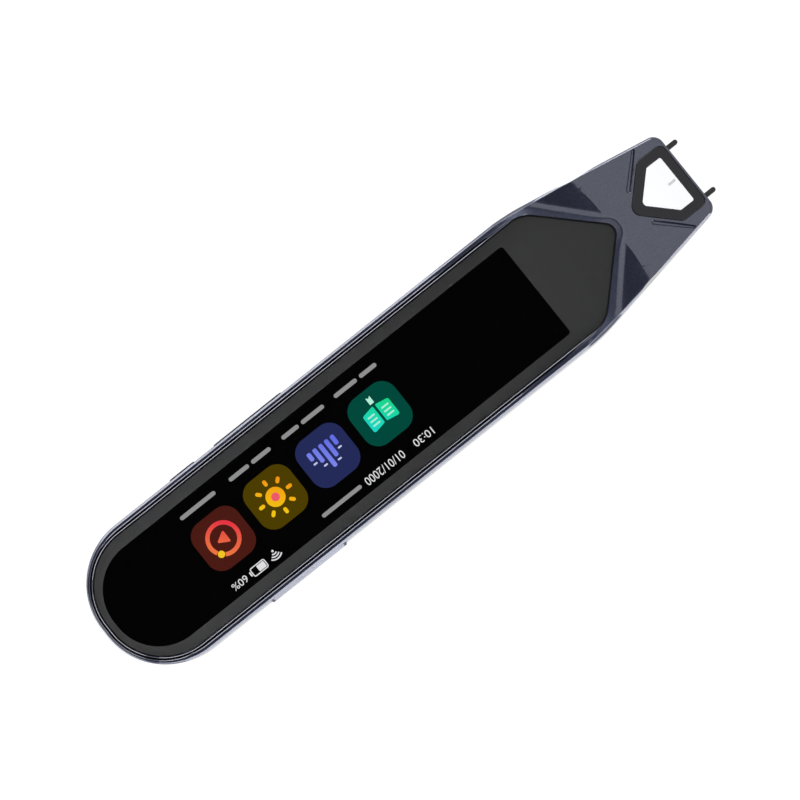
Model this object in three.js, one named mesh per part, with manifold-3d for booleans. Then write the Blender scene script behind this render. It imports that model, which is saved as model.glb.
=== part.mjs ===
// A pocket scanning pen with a long touch screen and a see-through sight window in its nose.
// Millimetres. X runs from the blunt rear end to the scanning tip, Y across the pen, Z up from the back.
import * as THREE from 'three';
import { mergeVertices } from 'three/addons/utils/BufferGeometryUtils.js';
import Module from 'manifold-3d';

const wasm = await Module();
wasm.setup();

// Body outline
const shoulderX = 124.2;
const noseLength = 37.1;
const bodyWidth = 34;
const tipWidth = 20.9;
const bodyHeight = 12;
const rearFlat = 2;
const shoulderRadius = 40;
const tipCornerRadius = 2.5;
const wall = 1.3;

// Heights of the two shells
const keySill = 1.25;
const seamGap = 0.15;
const glassProud = 0.4;
const coverFloor = 1.2;
const sideCurveHeight = 1.6;
const backEdgeRadius = 2.2;

// Cover glass and screen
const glassSideMargin = 1.9;
const glassRearX = 1.45;
const glassShoulderRadius = 6;
const glassApexRadius = 2.4;
const glassShoulderAdvance = 2.6;
const glassThickness = 0.9;
const glassBevel = 0.3;
const glassGap = 0.12;
const rimWidth = 0.43;
const adhesiveThickness = 0.2;
const ledgeThickness = 0.9;
const screenRearX = 3;
const screenFrontSetback = 4.6;
const screenSideBorder = 3.03;
const screenRadiusStep = 2.6;
const screenFrontRadius = 0.8;
const panelBorder = 0.35;
const panelThickness = 1.4;
const backlightThickness = 1.1;
const fitGap = 0.3;
const flexBond = 1.6;

// Nose surfaces
const crestSetback = 20.3;
const noseFall = 2.2;
const shoulderDip = 1;
const facetRun = 2;
const facetDrop = 1.3;
const undersideSetback = 16.8;
const undersideLiftShare = 0.5714;
const roofThickness = 1.3;
const grooveWidth = 0.9;
const grooveDepth = 0.35;
const grooveLength = 9.8;
const grooveOffset = 1.1;
const grooveStart = 4;

// Sight window
const windowTipMargin = 0.65;
const windowLength = 13.9;
const windowSideMargin = 2.3;
const windowApexRadius = 2.1;
const windowCornerRadius = 1.6;
const windowTipBar = 1.9;
const windowSideBar = 2.2;
const windowBackTipBar = 1.2;
const windowBackSideBar = 1.8;
const windowFrameDepth = 0.8;
const windowFrameProud = 0.1;
const windowHoleInset = 1;
const lensInset = 0.7;
const lensThickness = 0.8;
const lensRecess = 0.2;
const windowFit = 0.1;

// Nib fork, its switch and the scan window in the tip
const footReach = 2.8;
const footInset = 1.5;
const footThickness = 1.13;
const footHeight = 1.3;
const footSill = 0.8;
const forkTravel = 0.8;
const forkBarDepth = 2.6;
const slideGap = 0.2;
const plungerLength = 2.6;
const plungerRadius = 0.5;
const nibSwitchLength = 3.2;
const nibSwitchWidth = 4.2;
const scanWindowWidth = 9.8;
const scanWindowHeight = 1.7;
const scanWindowSill = 0.25;
const scanWindowRecess = 0.1;
const scanWindowDepth = 1;
const noseBoardWidth = 16;

// Camera
const cameraWindowGap = 4.4;
const barrelLength = 7.5;
const barrelRadius = 1.7;
const barrelNose = 2.2;
const cameraLensRadius = 1.1;
const cameraLensDepth = 0.7;
const cameraLevelShare = 0.4043;
const sensorGap = 1.6;
const sensorSize = 2;
const sensorThickness = 0.6;
const holderWidth = 6.4;
const holderRoof = 0.4;
const railWidth = 2.2;
const cameraBoardWidth = 8;
const forkBoardGap = 1.6;
const ledBoardLength = 7.2;
const ledBoardWidth = 9;
const ledBoardThickness = 0.6;
const ledHeadroom = 0.4;
const ledSize = 1.1;
const ledSpacing = 6.4;

// Side keys
const keyProud = 0.5;
const keyHeight = 2.4;
const keyGap = 0.15;
const keyLip = 0.7;
const keyLipThickness = 0.7;
const keyTravel = 0.3;
const keyBevel = 0.3;
const powerKeyX = 34.55;
const powerKeyLength = 6.7;
const volumeKeyX = 52.75;
const volumeKeyLength = 18.7;
const functionKeyX = 42.75;
const functionKeyLength = 21.3;
const switchDepth = 3.4;
const switchLength = 4.6;
const switchHeight = 1.6;
const switchNubRadius = 0.5;
const switchNubLength = 0.6;
const volumeSwitchSpacing = 11;

// Boards, battery and sound
const boardThickness = 0.8;
const boardSideGap = 2.2;
const standoffHeight = 2.2;
const boardEndMargin = 4;
const boardMargin = 1;
const shieldLength = 20;
const shieldWidth = 18;
const shieldHeight = 1.5;
const chipSize = 8;
const chipHeight = 0.9;
const connectorLength = 3.6;
const displayConnectorHeight = 1.4;
const cameraConnectorHeight = 0.7;
const displayFlexWidth = 14;
const cameraFlexWidth = 3.6;
const cameraFlexShift = 2;
const flexThickness = 0.2;
const batteryGap = 1.8;
const batteryHeadroom = 2.15;
const batteryPadThickness = 0.15;
const batteryEdgeRadius = 1.2;
const batterySideGap = 2.4;
const cellBoardLength = 1.2;
const cellBoardDrop = 1.3;
const speakerLength = 16;
const speakerWidth = 14;
const speakerHeadroom = 0.55;
const speakerMeshThickness = 0.25;
const grilleSlotLength = 7;
const grilleSlotWidth = 0.8;
const grilleSlotPitch = 1.7;
const motorRadius = 4;
const motorX = 9.4;
const antennaLength = 26;
const antennaHeight = 3;
const antennaThickness = 0.15;

// Rear socket and microphone
const socketWidth = 9;
const socketHeight = 3.2;
const socketLength = 7.3;
const socketSill = 0.65;
const socketWall = 0.3;
const socketRecess = 0.25;
const socketFloor = 1.2;
const tongueWidth = 6.6;
const tongueThickness = 0.7;
const tongueSetback = 1;
const socketGap = 0.12;
const usbBoardLength = 11;
const micRadius = 0.45;
const micSpacing = 6.6;
const micSize = 1.8;
const micDepth = 1;
const micWallGap = 0.43;

// Screws and bosses
const screwHeadRadius = 1.35;
const screwHeadHeight = 0.9;
const screwHeadRecess = 0.15;
const screwHeadGap = 0.15;
const screwRadius = 0.6;
const screwLength = 4.4;
const screwHoleGap = 0.3;
const screwCrossWidth = 0.35;
const screwCrossDepth = 0.35;
const screwCrossShare = 0.62;
const coverBossRadius = 2.5;
const coverBossRise = 1.15;
const bossRadius = 1.8;
const bossGap = 0.25;
const rearScrewX = 14.5;
const screwSideInset = 6.5;
const frontScrewSetback = 5.7;
const noseScrewSetback = 19.8;
const standoffRadius = 1.2;
const chassisThickness = 0.6;
const chassisRim = 0.7;
const antennaX = 92;

// Cuts run past the faces that they open by this much
const overrun = 2;

// Counts of straight steps in a round corner
const wideArc = 14;
const softArc = 4;
const smallArc = 5;
const roundSides = 16;

// Places worked out from the sizes above
const bodyLength = shoulderX + noseLength;
const overallLength = bodyLength + footReach;
const halfWidth = bodyWidth / 2;
const halfTip = tipWidth / 2;
const rearCornerRadius = halfWidth - rearFlat / 2;
const glassHalf = halfWidth - glassSideMargin;
const glassRearRadius = rearCornerRadius - glassSideMargin;
const screenHalf = glassHalf - screenSideBorder;
const screenRearRadius = glassRearRadius - screenRadiusStep;
const rimHeight = bodyHeight - glassProud;
const sideCurveBottom = rimHeight - sideCurveHeight;
const glassBottom = bodyHeight - glassThickness;
const ledgeTop = glassBottom - adhesiveThickness;
const ledgeBottom = ledgeTop - ledgeThickness;
const screenFrontX = shoulderX - screenFrontSetback;
const glassShoulderX = shoulderX + glassShoulderAdvance;
const panelHalf = screenHalf + panelBorder;
const panelFrontX = screenFrontX + panelBorder;
const panelRearX = screenRearX - panelBorder;
const chassisFrontX = panelFrontX + fitGap + chassisRim;
const bayFrontX = chassisFrontX + fitGap + flexThickness + boardThickness;
const panelBottom = glassBottom - panelThickness;
const backlightBottom = panelBottom - backlightThickness;
const chassisBottom = backlightBottom - chassisThickness;
const crestX = bodyLength - crestSetback;
const undersideX = bodyLength - undersideSetback;
const tipWallX = bodyLength - wall;
const boardTop = chassisBottom - standoffHeight;
const boardLift = boardTop - boardThickness;
const keyLift = boardTop + switchHeight / 2;
const seamHeight = keyLift - keyHeight / 2 - keyGap - keySill;
const footLift = seamHeight + footSill;
const footTop = footLift + footHeight;
const tipHeight = footTop + slideGap + lensThickness + roofThickness;
const crestHeight = tipHeight + noseFall;
const scanWindowLift = seamHeight + scanWindowSill;
const cameraLift = coverFloor + (crestHeight - coverFloor) * cameraLevelShare;
const holderTop = cameraLift + barrelRadius + slideGap + holderRoof;
const noseBayHeight = holderTop + ledBoardThickness + ledHeadroom;
const socketLift = seamHeight + socketSill + socketHeight / 2;
const windowWidth = tipWidth - 2 * windowSideMargin;
const footSpacing = windowWidth - 2 * footInset;

// Small helpers

function roundedOutline(corners, inset = 0) {
  const count = corners.length;
  const lines = corners.map((corner, i) => {
    const next = corners[(i + 1) % count];
    const along = new THREE.Vector2(next.x - corner.x, next.y - corner.y).normalize();
    const inward = new THREE.Vector2(-along.y, along.x);
    return { start: new THREE.Vector2(corner.x, corner.y).addScaledVector(inward, inset), along };
  });
  const points = [];
  corners.forEach((corner, i) => {
    const before = lines[(i + count - 1) % count];
    const after = lines[i];
    const cross = before.along.cross(after.along);
    const apart = after.start.clone().sub(before.start);
    const vertex = before.start.clone().addScaledVector(before.along, apart.cross(after.along) / cross);
    const turn = Math.atan2(cross, before.along.dot(after.along));
    const radius = Math.max(corner.r - inset, corner.r / 10);
    const centre = vertex.clone()
      .addScaledVector(before.along, -radius * Math.tan(turn / 2))
      .add(new THREE.Vector2(-before.along.y, before.along.x).multiplyScalar(radius));
    const first = Math.atan2(-before.along.x, before.along.y);
    for (let step = 0; step <= corner.steps; step += 1) {
      const angle = first + Math.PI + turn * step / corner.steps;
      points.push(new THREE.Vector2(
        centre.x - Math.cos(angle) * radius,
        centre.y - Math.sin(angle) * radius,
      ));
    }
  });
  return points;
}

function level(z) {
  return () => z;
}

// Joins rings of equal point counts from the bottom up and closes both ends
function loft(layers) {
  const size = layers[0].outline.length;
  const positions = [];
  layers.forEach(({ outline, height }) => {
    outline.forEach((p) => positions.push(p.x, p.y, height(p.x, p.y)));
  });
  const index = [];
  for (let k = 0; k < layers.length - 1; k += 1) {
    for (let i = 0; i < size; i += 1) {
      const a = k * size + i;
      const b = k * size + (i + 1) % size;
      index.push(a, b, b + size, a, b + size, a + size);
    }
  }
  const last = (layers.length - 1) * size;
  THREE.ShapeUtils.triangulateShape(layers[0].outline, []).forEach(([a, b, c]) => index.push(a, c, b));
  THREE.ShapeUtils.triangulateShape(layers.at(-1).outline, [])
    .forEach(([a, b, c]) => index.push(last + a, last + b, last + c));
  const geometry = new THREE.BufferGeometry();
  geometry.setAttribute('position', new THREE.Float32BufferAttribute(positions, 3));
  geometry.setIndex(index);
  return geometry;
}

function solid(geometry) {
  const bare = geometry.clone();
  bare.deleteAttribute('normal');
  bare.deleteAttribute('uv');
  const merged = mergeVertices(bare);
  return new wasm.Manifold(new wasm.Mesh({
    numProp: 3,
    vertProperties: new Float32Array(merged.attributes.position.array),
    triVerts: new Uint32Array(merged.index.array),
  }));
}

function prism(outline, bottom, top) {
  const low = typeof bottom === 'function' ? bottom : level(bottom);
  const high = typeof top === 'function' ? top : level(top);
  return solid(loft([{ outline, height: low }, { outline, height: high }]));
}

function block(x0, x1, y0, y1, z0, z1) {
  const geometry = new THREE.BoxGeometry(x1 - x0, y1 - y0, z1 - z0);
  return solid(geometry.translate((x0 + x1) / 2, (y0 + y1) / 2, (z0 + z1) / 2));
}

function post(x, y, z0, z1, radius) {
  const geometry = new THREE.CylinderGeometry(radius, radius, z1 - z0, roundSides);
  return solid(geometry.rotateX(Math.PI / 2).translate(x, y, (z0 + z1) / 2));
}

function rodAlongX(x0, x1, y, z, radius) {
  const geometry = new THREE.CylinderGeometry(radius, radius, x1 - x0, roundSides);
  return solid(geometry.rotateZ(Math.PI / 2).translate((x0 + x1) / 2, y, z));
}

function rodAlongY(y0, y1, x, z, radius) {
  const geometry = new THREE.CylinderGeometry(radius, radius, y1 - y0, roundSides);
  return solid(geometry.translate(x, (y0 + y1) / 2, z));
}

// A side profile of X and Z points, carried across the pen
function acrossPen(profile, halfSpan) {
  const shape = new THREE.Shape(profile.map(([x, z]) => new THREE.Vector2(x, z)));
  const geometry = new THREE.ExtrudeGeometry(shape, { depth: 2 * halfSpan, bevelEnabled: false });
  return solid(geometry.rotateX(Math.PI / 2).translate(0, halfSpan, 0));
}

function plate(corners, bottom, top, inset = 0) {
  return prism(roundedOutline(corners, inset), bottom, top);
}

function joined(solids) {
  return solids.reduce((sum, next) => sum.add(next));
}

function piece(name, shape, look) {
  const mesh = shape.getMesh();
  const geometry = new THREE.BufferGeometry();
  geometry.setAttribute('position', new THREE.BufferAttribute(mesh.vertProperties, mesh.numProp));
  geometry.setIndex(new THREE.BufferAttribute(mesh.triVerts, 1));
  geometry.computeVertexNormals();
  const part = new THREE.Mesh(geometry, new THREE.MeshStandardMaterial(look));
  part.name = name;
  return part;
}

// Looks
const shellPaint = { color: 0x50525f, roughness: 0.32, metalness: 0.6 };
const blackPlastic = { color: 0x373638, roughness: 0.45, metalness: 0 };
const keyPlastic = { color: 0x2a2b33, roughness: 0.4, metalness: 0.2 };
const coverGlassLook = { color: 0x373737, roughness: 0.08, metalness: 0 };
const clearLook = { color: 0xf4f6fa, roughness: 0.05, metalness: 0 };
const panelLook = { color: 0x050506, roughness: 0.2, metalness: 0 };
const whiteFilm = { color: 0xe8e8e4, roughness: 0.6, metalness: 0 };
const glueLook = { color: 0x151515, roughness: 0.8, metalness: 0 };
const castLook = { color: 0x8c8e92, roughness: 0.5, metalness: 0.8 };
const steelLook = { color: 0xb9bcc0, roughness: 0.3, metalness: 1 };
const boardLook = { color: 0x14392b, roughness: 0.5, metalness: 0 };
const chipLook = { color: 0x1c1c1e, roughness: 0.4, metalness: 0 };
const flexLook = { color: 0xa8662a, roughness: 0.5, metalness: 0 };
const cellLook = { color: 0xa4a8ab, roughness: 0.35, metalness: 0.6 };

// Outlines

function bodyCorners(frontX = bodyLength) {
  return [
    { x: 0, y: -halfWidth, r: rearCornerRadius, steps: wideArc },
    { x: shoulderX, y: -halfWidth, r: shoulderRadius, steps: softArc },
    { x: frontX, y: -halfTip, r: tipCornerRadius, steps: smallArc },
    { x: frontX, y: halfTip, r: tipCornerRadius, steps: smallArc },
    { x: shoulderX, y: halfWidth, r: shoulderRadius, steps: softArc },
    { x: 0, y: halfWidth, r: rearCornerRadius, steps: wideArc },
  ];
}

const glassCorners = [
  { x: glassRearX, y: -glassHalf, r: glassRearRadius, steps: wideArc },
  { x: glassShoulderX, y: -glassHalf, r: glassShoulderRadius, steps: softArc },
  { x: glassShoulderX + glassHalf, y: 0, r: glassApexRadius, steps: smallArc },
  { x: glassShoulderX, y: glassHalf, r: glassShoulderRadius, steps: softArc },
  { x: glassRearX, y: glassHalf, r: glassRearRadius, steps: wideArc },
];

function screenCorners(rearX, frontX, half) {
  return [
    { x: rearX, y: -half, r: screenRearRadius, steps: wideArc },
    { x: frontX, y: -half, r: screenFrontRadius, steps: smallArc },
    { x: frontX, y: half, r: screenFrontRadius, steps: smallArc },
    { x: rearX, y: half, r: screenRearRadius, steps: wideArc },
  ];
}

const bayHalf = halfWidth - wall;
const bayCorners = [
  { x: wall, y: -bayHalf, r: rearCornerRadius - wall, steps: wideArc },
  { x: bayFrontX, y: -bayHalf, r: tipCornerRadius, steps: smallArc },
  { x: bayFrontX, y: bayHalf, r: tipCornerRadius, steps: smallArc },
  { x: wall, y: bayHalf, r: rearCornerRadius - wall, steps: wideArc },
];
const chassisCorners = bayCorners.map((corner) => ({
  ...corner,
  x: corner.x === wall ? wall + fitGap : chassisFrontX,
  y: Math.sign(corner.y) * (bayHalf - fitGap),
}));

// The sight window is a five-sided arrow head that points to the rear
const windowFrontX = bodyLength - windowTipMargin;
const windowRearX = windowFrontX - windowLength;
const windowHalf = windowWidth / 2;
const windowPointX = windowRearX - windowApexRadius * (Math.SQRT2 - 1);
const windowCorners = [
  { x: windowPointX, y: 0, r: windowApexRadius, steps: smallArc },
  { x: windowPointX + windowHalf, y: -windowHalf, r: windowCornerRadius, steps: smallArc },
  { x: windowFrontX, y: -windowHalf, r: windowCornerRadius, steps: smallArc },
  { x: windowFrontX, y: windowHalf, r: windowCornerRadius, steps: smallArc },
  { x: windowPointX + windowHalf, y: windowHalf, r: windowCornerRadius, steps: smallArc },
];

// The clear opening in a window frame, whose bars have the given widths
function sightCorners(sideBar, tipBar) {
  const pointX = windowPointX + sideBar * Math.SQRT2;
  const half = windowHalf - sideBar;
  const radius = windowCornerRadius - sideBar / 2;
  return [
    { x: pointX, y: 0, r: windowApexRadius - sideBar / 2, steps: smallArc },
    { x: pointX + half, y: -half, r: radius, steps: smallArc },
    { x: windowFrontX - tipBar, y: -half, r: radius, steps: smallArc },
    { x: windowFrontX - tipBar, y: half, r: radius, steps: smallArc },
    { x: pointX + half, y: half, r: radius, steps: smallArc },
  ];
}
const frontSight = sightCorners(windowSideBar, windowTipBar);
const backSight = sightCorners(windowBackSideBar, windowBackTipBar);

// Heights of the sloping nose above and below, each moved up by a given amount
const noseSlope = (crestHeight - tipHeight) / crestSetback;
const undersideSlope = (seamHeight - coverFloor) * undersideLiftShare / undersideSetback;

function noseTop(shift) {
  return (x) => crestHeight - (x - crestX) * noseSlope + shift;
}

function noseUnder(shift) {
  return (x) => (x - undersideX) * undersideSlope + shift;
}

// Screw places: four into the chassis, two into the nose
const frontScrewX = shoulderX - frontScrewSetback;
const noseScrewX = bodyLength - noseScrewSetback;
const chassisScrews = [rearScrewX, frontScrewX].flatMap((x) => (
  [-1, 1].map((side) => ({ x, y: side * (halfWidth - screwSideInset) }))
));
const noseSideY = halfTip + (halfWidth - halfTip) * noseScrewSetback / noseLength - wall;
const forkSideY = footSpacing / 2 + footThickness / 2;
const noseScrews = [-1, 1].map((side) => ({ x: noseScrewX, y: side * (noseSideY + forkSideY) / 2 }));
const screwPlaces = [...chassisScrews, ...noseScrews];
const screwSeat = screwHeadRecess + screwHeadHeight;
const coverBossTop = coverFloor + coverBossRise;
const bossBottom = coverBossTop + bossGap;

// Side keys: each has a face in the wall's slot and a wider lip behind the wall
const keys = {
  power_key: { x: powerKeyX, side: 1, length: powerKeyLength },
  volume_key: { x: volumeKeyX, side: 1, length: volumeKeyLength },
  function_key: { x: functionKeyX, side: -1, length: functionKeyLength },
};

function spanAcross(side, near, far, x0, x1, z0, z1) {
  const ends = [side * near, side * far].sort((a, b) => a - b);
  return block(x0, x1, ends[0], ends[1], z0, z1);
}

function keySlot({ x, side, length }) {
  const reach = length / 2 + keyGap;
  const rise = keyHeight / 2 + keyGap;
  return spanAcross(side, bayHalf - overrun, halfWidth + overrun, x - reach, x + reach,
    keyLift - rise, keyLift + rise);
}

function keyShape({ x, side, length }) {
  const half = length / 2;
  const rise = keyHeight / 2;
  const face = [
    { depth: bayHalf - keyTravel, cut: 0 },
    { depth: halfWidth + keyProud - keyBevel, cut: 0 },
    { depth: halfWidth + keyProud, cut: keyBevel },
  ];
  const outline = (cut) => roundedOutline([
    { x: x - half, y: keyLift - rise, r: rise, steps: smallArc },
    { x: x + half, y: keyLift - rise, r: rise, steps: smallArc },
    { x: x + half, y: keyLift + rise, r: rise, steps: smallArc },
    { x: x - half, y: keyLift + rise, r: rise, steps: smallArc },
  ], cut);
  const upright = loft(face.map(({ depth, cut }) => ({ outline: outline(cut), height: level(depth) })));
  const turned = side > 0
    ? upright.rotateX(Math.PI / 2).scale(1, -1, 1)
    : upright.rotateX(Math.PI / 2);
  if (side > 0) {
    const order = turned.index.array;
    for (let i = 0; i < order.length; i += 3) [order[i], order[i + 1]] = [order[i + 1], order[i]];
  }
  const inner = bayHalf - keyTravel;
  const lip = spanAcross(side, inner - keyLipThickness, inner, x - half - keyLip, x + half + keyLip,
    keyLift - rise, keyLift + rise);
  return solid(turned).add(lip);
}

// Pieces of the shell

function frontFrame() {
  const sideLayers = [
    { inset: 0, z: seamHeight },
    { inset: 0, z: sideCurveBottom },
  ];
  const rimInset = halfWidth - glassHalf - glassGap - rimWidth;
  const curveSteps = 5;
  for (let step = 1; step <= curveSteps; step += 1) {
    const angle = (Math.PI / 2) * step / curveSteps;
    sideLayers.push({
      inset: rimInset * (1 - Math.cos(angle)),
      z: sideCurveBottom + sideCurveHeight * Math.sin(angle),
    });
  }
  const shell = solid(loft(sideLayers.map(({ inset, z }) => ({
    outline: roundedOutline(bodyCorners(), inset),
    height: level(z),
  }))));
  const rimOutset = glassGap + rimWidth;
  const deepShare = 3;
  const plateau = solid(loft([
    { inset: -rimOutset - facetRun * deepShare, z: rimHeight - facetDrop * deepShare },
    { inset: -rimOutset, z: rimHeight },
    { inset: -rimOutset, z: bodyHeight + overrun },
  ].map(({ inset, z }) => ({ outline: roundedOutline(glassCorners, inset), height: level(z) }))));
  const noseRegion = acrossPen([
    [screenFrontX, crestHeight - shoulderDip],
    [crestX, crestHeight],
    [bodyLength, tipHeight],
    [bodyLength + overrun, tipHeight - noseSlope * overrun],
    [bodyLength + overrun, bodyHeight + overrun],
    [screenFrontX, bodyHeight + overrun],
  ], bodyWidth);
  const noseCut = noseRegion.subtract(plateau);
  const noseBay = plate(bodyCorners(), seamHeight - overrun, bodyHeight, wall).intersect(acrossPen([
    [0, seamHeight - overrun],
    [bodyLength, seamHeight - overrun],
    [bodyLength, tipHeight - roofThickness],
    [windowRearX - lensInset, noseTop(-roofThickness)(windowRearX - lensInset)],
    [windowRearX - lensInset, noseBayHeight],
    [0, noseBayHeight],
  ], bodyWidth));
  const cuts = [
    noseCut,
    noseBay,
    plate(bayCorners, seamHeight - overrun, ledgeBottom),
    plate(glassCorners, ledgeTop, bodyHeight + overrun, -glassGap),
    plate(screenCorners(panelRearX, panelFrontX, panelHalf), seamHeight, bodyHeight, -fitGap),
    plate(windowCorners, noseTop(-windowFrameDepth), noseTop(overrun), -windowFit),
    plate(windowCorners, noseTop(-roofThickness - overrun), noseTop(overrun), windowHoleInset),
    ...Object.values(keys).map(keySlot),
    socketCut(socketGap),
    rodAlongX(-overrun, wall + overrun, micSpacing, socketLift, micRadius),
    ...[-1, 1].map((side) => footSlot(side)),
    block(tipWallX - overrun, bodyLength + overrun, -scanWindowWidth / 2 - windowFit,
      scanWindowWidth / 2 + windowFit, scanWindowLift - windowFit,
      scanWindowLift + scanWindowHeight + windowFit),
    ...[-1, 1].map((side) => sightGroove(side)),
  ];
  const hollow = cuts.reduce((left, cut) => left.subtract(cut), shell);
  const bosses = noseScrews.map(({ x, y }) => post(x, y, bossBottom, noseBayHeight + wall, bossRadius));
  const holes = noseScrews.map(({ x, y }) => (
    post(x, y, bossBottom - overrun, screwSeat + screwLength + fitGap, screwRadius + screwHoleGap)));
  const bossed = joined([hollow, ...bosses]);
  return holes.reduce((left, hole) => left.subtract(hole), bossed);
}

function socketCut(gap) {
  const half = socketWidth / 2 + gap;
  const rise = socketHeight / 2 + gap;
  const outline = roundedOutline([
    { x: -rise, y: -half, r: rise, steps: smallArc },
    { x: rise, y: -half, r: rise, steps: smallArc },
    { x: rise, y: half, r: rise, steps: smallArc },
    { x: -rise, y: half, r: rise, steps: smallArc },
  ]);
  const bar = loft([
    { outline, height: level(-overrun) },
    { outline, height: level(rearCornerRadius / 2) },
  ]);
  return solid(bar.rotateY(Math.PI / 2).translate(0, 0, socketLift));
}

function footSlot(side) {
  const centre = side * footSpacing / 2;
  const half = footThickness / 2 + slideGap;
  return block(tipWallX - overrun, bodyLength + overrun, centre - half, centre + half,
    footLift - slideGap, footLift + footHeight + slideGap);
}

// A groove beside each slanted edge of the sight window
function sightGroove(side) {
  const start = new THREE.Vector2(windowPointX + grooveStart - grooveOffset * Math.SQRT2, grooveStart);
  const along = new THREE.Vector2(Math.SQRT1_2, Math.SQRT1_2).multiplyScalar(grooveLength);
  const across = new THREE.Vector2(-Math.SQRT1_2, Math.SQRT1_2).multiplyScalar(grooveWidth / 2);
  const ring = [
    start.clone().sub(across),
    start.clone().add(along).sub(across),
    start.clone().add(along).add(across),
    start.clone().add(across),
  ].map((point) => new THREE.Vector2(point.x, point.y * side));
  const outline = side > 0 ? ring : ring.reverse();
  return prism(outline, noseTop(-grooveDepth), noseTop(overrun));
}

function rearCover() {
  const top = seamHeight - seamGap;
  const edgeRadius = Math.min(backEdgeRadius, top - seamGap);
  const layers = [];
  const curveSteps = 4;
  for (let step = 0; step <= curveSteps; step += 1) {
    const angle = (Math.PI / 2) * step / curveSteps;
    layers.push({
      inset: edgeRadius * (1 - Math.sin(angle)),
      z: edgeRadius * (1 - Math.cos(angle)),
    });
  }
  layers.push({ inset: 0, z: top });
  const shell = solid(loft(layers.map(({ inset, z }) => ({
    outline: roundedOutline(bodyCorners(), inset),
    height: level(z),
  }))));
  const underCut = acrossPen([
    [undersideX, 0],
    [undersideX, -overrun],
    [bodyLength + overrun, -overrun],
    [bodyLength + overrun, noseUnder(0)(bodyLength + overrun)],
  ], bodyWidth);
  const bay = plate(bodyCorners(), 0, seamHeight, wall).intersect(acrossPen([
    [0, coverFloor],
    [undersideX, coverFloor],
    [bodyLength, noseUnder(coverFloor)(bodyLength)],
    [bodyLength, seamHeight],
    [0, seamHeight],
  ], bodyWidth));
  const hollow = shell.subtract(bay).subtract(underCut);
  const bossed = joined([hollow, ...screwPlaces.map(({ x, y }) => (
    post(x, y, coverFloor / 2, coverBossTop, coverBossRadius)))]);
  const slots = [];
  const slotCount = 6;
  for (let i = 0; i < slotCount; i += 1) {
    const x = speakerX + (i - (slotCount - 1) / 2) * grilleSlotPitch;
    slots.push(block(x - grilleSlotWidth / 2, x + grilleSlotWidth / 2,
      -grilleSlotLength / 2, grilleSlotLength / 2, -overrun, coverFloor + fitGap));
  }
  const cuts = [
    plate(windowCorners, noseUnder(-overrun), noseUnder(windowFrameDepth), -windowFit),
    plate(windowCorners, noseUnder(-overrun), noseUnder(coverFloor + overrun), windowHoleInset),
    ...slots,
    ...screwPlaces.map(({ x, y }) => post(x, y, -overrun, screwSeat, screwHeadRadius + screwHeadGap)),
    ...screwPlaces.map(({ x, y }) => (
      post(x, y, -overrun, coverBossTop + overrun, screwRadius + screwHoleGap))),
  ];
  return cuts.reduce((left, cut) => left.subtract(cut), bossed);
}

// Boards lie between the rear screws and the volume key's far end
const boardRearX = rearScrewX + bossRadius + fitGap + boardMargin;
const boardFrontX = volumeKeyX + volumeKeyLength / 2 + boardEndMargin;
const standoffs = [boardRearX + standoffRadius + boardMargin, boardFrontX - standoffRadius - boardMargin];
const boardHalf = bayHalf - boardSideGap;
const standoffY = boardHalf - standoffRadius - boardMargin;
const speakerX = boardRearX + speakerLength / 2 + boardMargin;

function midChassis() {
  const tray = plate(chassisCorners, chassisBottom, ledgeBottom);
  const inside = plate(chassisCorners, backlightBottom, ledgeBottom + overrun, chassisRim);
  const bosses = chassisScrews.map(({ x, y }) => (
    post(x, y, bossBottom, chassisBottom + chassisThickness / 2, bossRadius)));
  const legs = standoffs.flatMap((x) => [-1, 1].map((side) => (
    post(x, side * standoffY, boardTop, chassisBottom + chassisThickness / 2, standoffRadius))));
  const leadNotch = block(panelFrontX - flexBond, chassisFrontX + overrun,
    -displayFlexWidth / 2 - fitGap, displayFlexWidth / 2 + fitGap,
    panelBottom - flexThickness - fitGap, ledgeBottom + overrun);
  const whole = joined([tray.subtract(inside).subtract(leadNotch), ...bosses, ...legs]);
  const holes = chassisScrews.map(({ x, y }) => (
    post(x, y, bossBottom - overrun, screwSeat + screwLength + fitGap, screwRadius + screwHoleGap)));
  return holes.reduce((left, hole) => left.subtract(hole), whole);
}

// Glass and screen

function coverGlass() {
  return solid(loft([
    { inset: 0, z: glassBottom },
    { inset: 0, z: bodyHeight - glassBevel },
    { inset: glassBevel / 3, z: bodyHeight - glassBevel / 3 },
    { inset: glassBevel, z: bodyHeight },
  ].map(({ inset, z }) => ({ outline: roundedOutline(glassCorners, inset), height: level(z) }))));
}

function glassAdhesive() {
  const opening = plate(screenCorners(panelRearX, panelFrontX, panelHalf), 0, bodyHeight, -fitGap);
  return plate(glassCorners, ledgeTop, glassBottom, glassGap).subtract(opening);
}

function displayPanel() {
  return plate(screenCorners(panelRearX, panelFrontX, panelHalf), panelBottom, glassBottom);
}

function backlight() {
  const corners = screenCorners(screenRearX, panelFrontX - flexBond, screenHalf);
  return plate(corners, backlightBottom, panelBottom);
}

// Sight window pieces, above and below

function windowFrame(sight, bottom, top) {
  return plate(windowCorners, bottom, top).subtract(plate(sight, bottomPast(bottom), topPast(top)));
}

function bottomPast(height) {
  return (x) => height(x) - overrun;
}

function topPast(height) {
  return (x) => height(x) + overrun;
}

function sightLens(sight, lower, middle, upper, baseBelow) {
  const base = roundedOutline(windowCorners, lensInset);
  const plateau = roundedOutline(sight, windowFit);
  const slabs = baseBelow
    ? [prism(base, lower, middle), prism(plateau, (x) => (lower(x) + middle(x)) / 2, upper)]
    : [prism(base, middle, upper), prism(plateau, lower, (x) => (middle(x) + upper(x)) / 2)];
  return joined(slabs);
}

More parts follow.
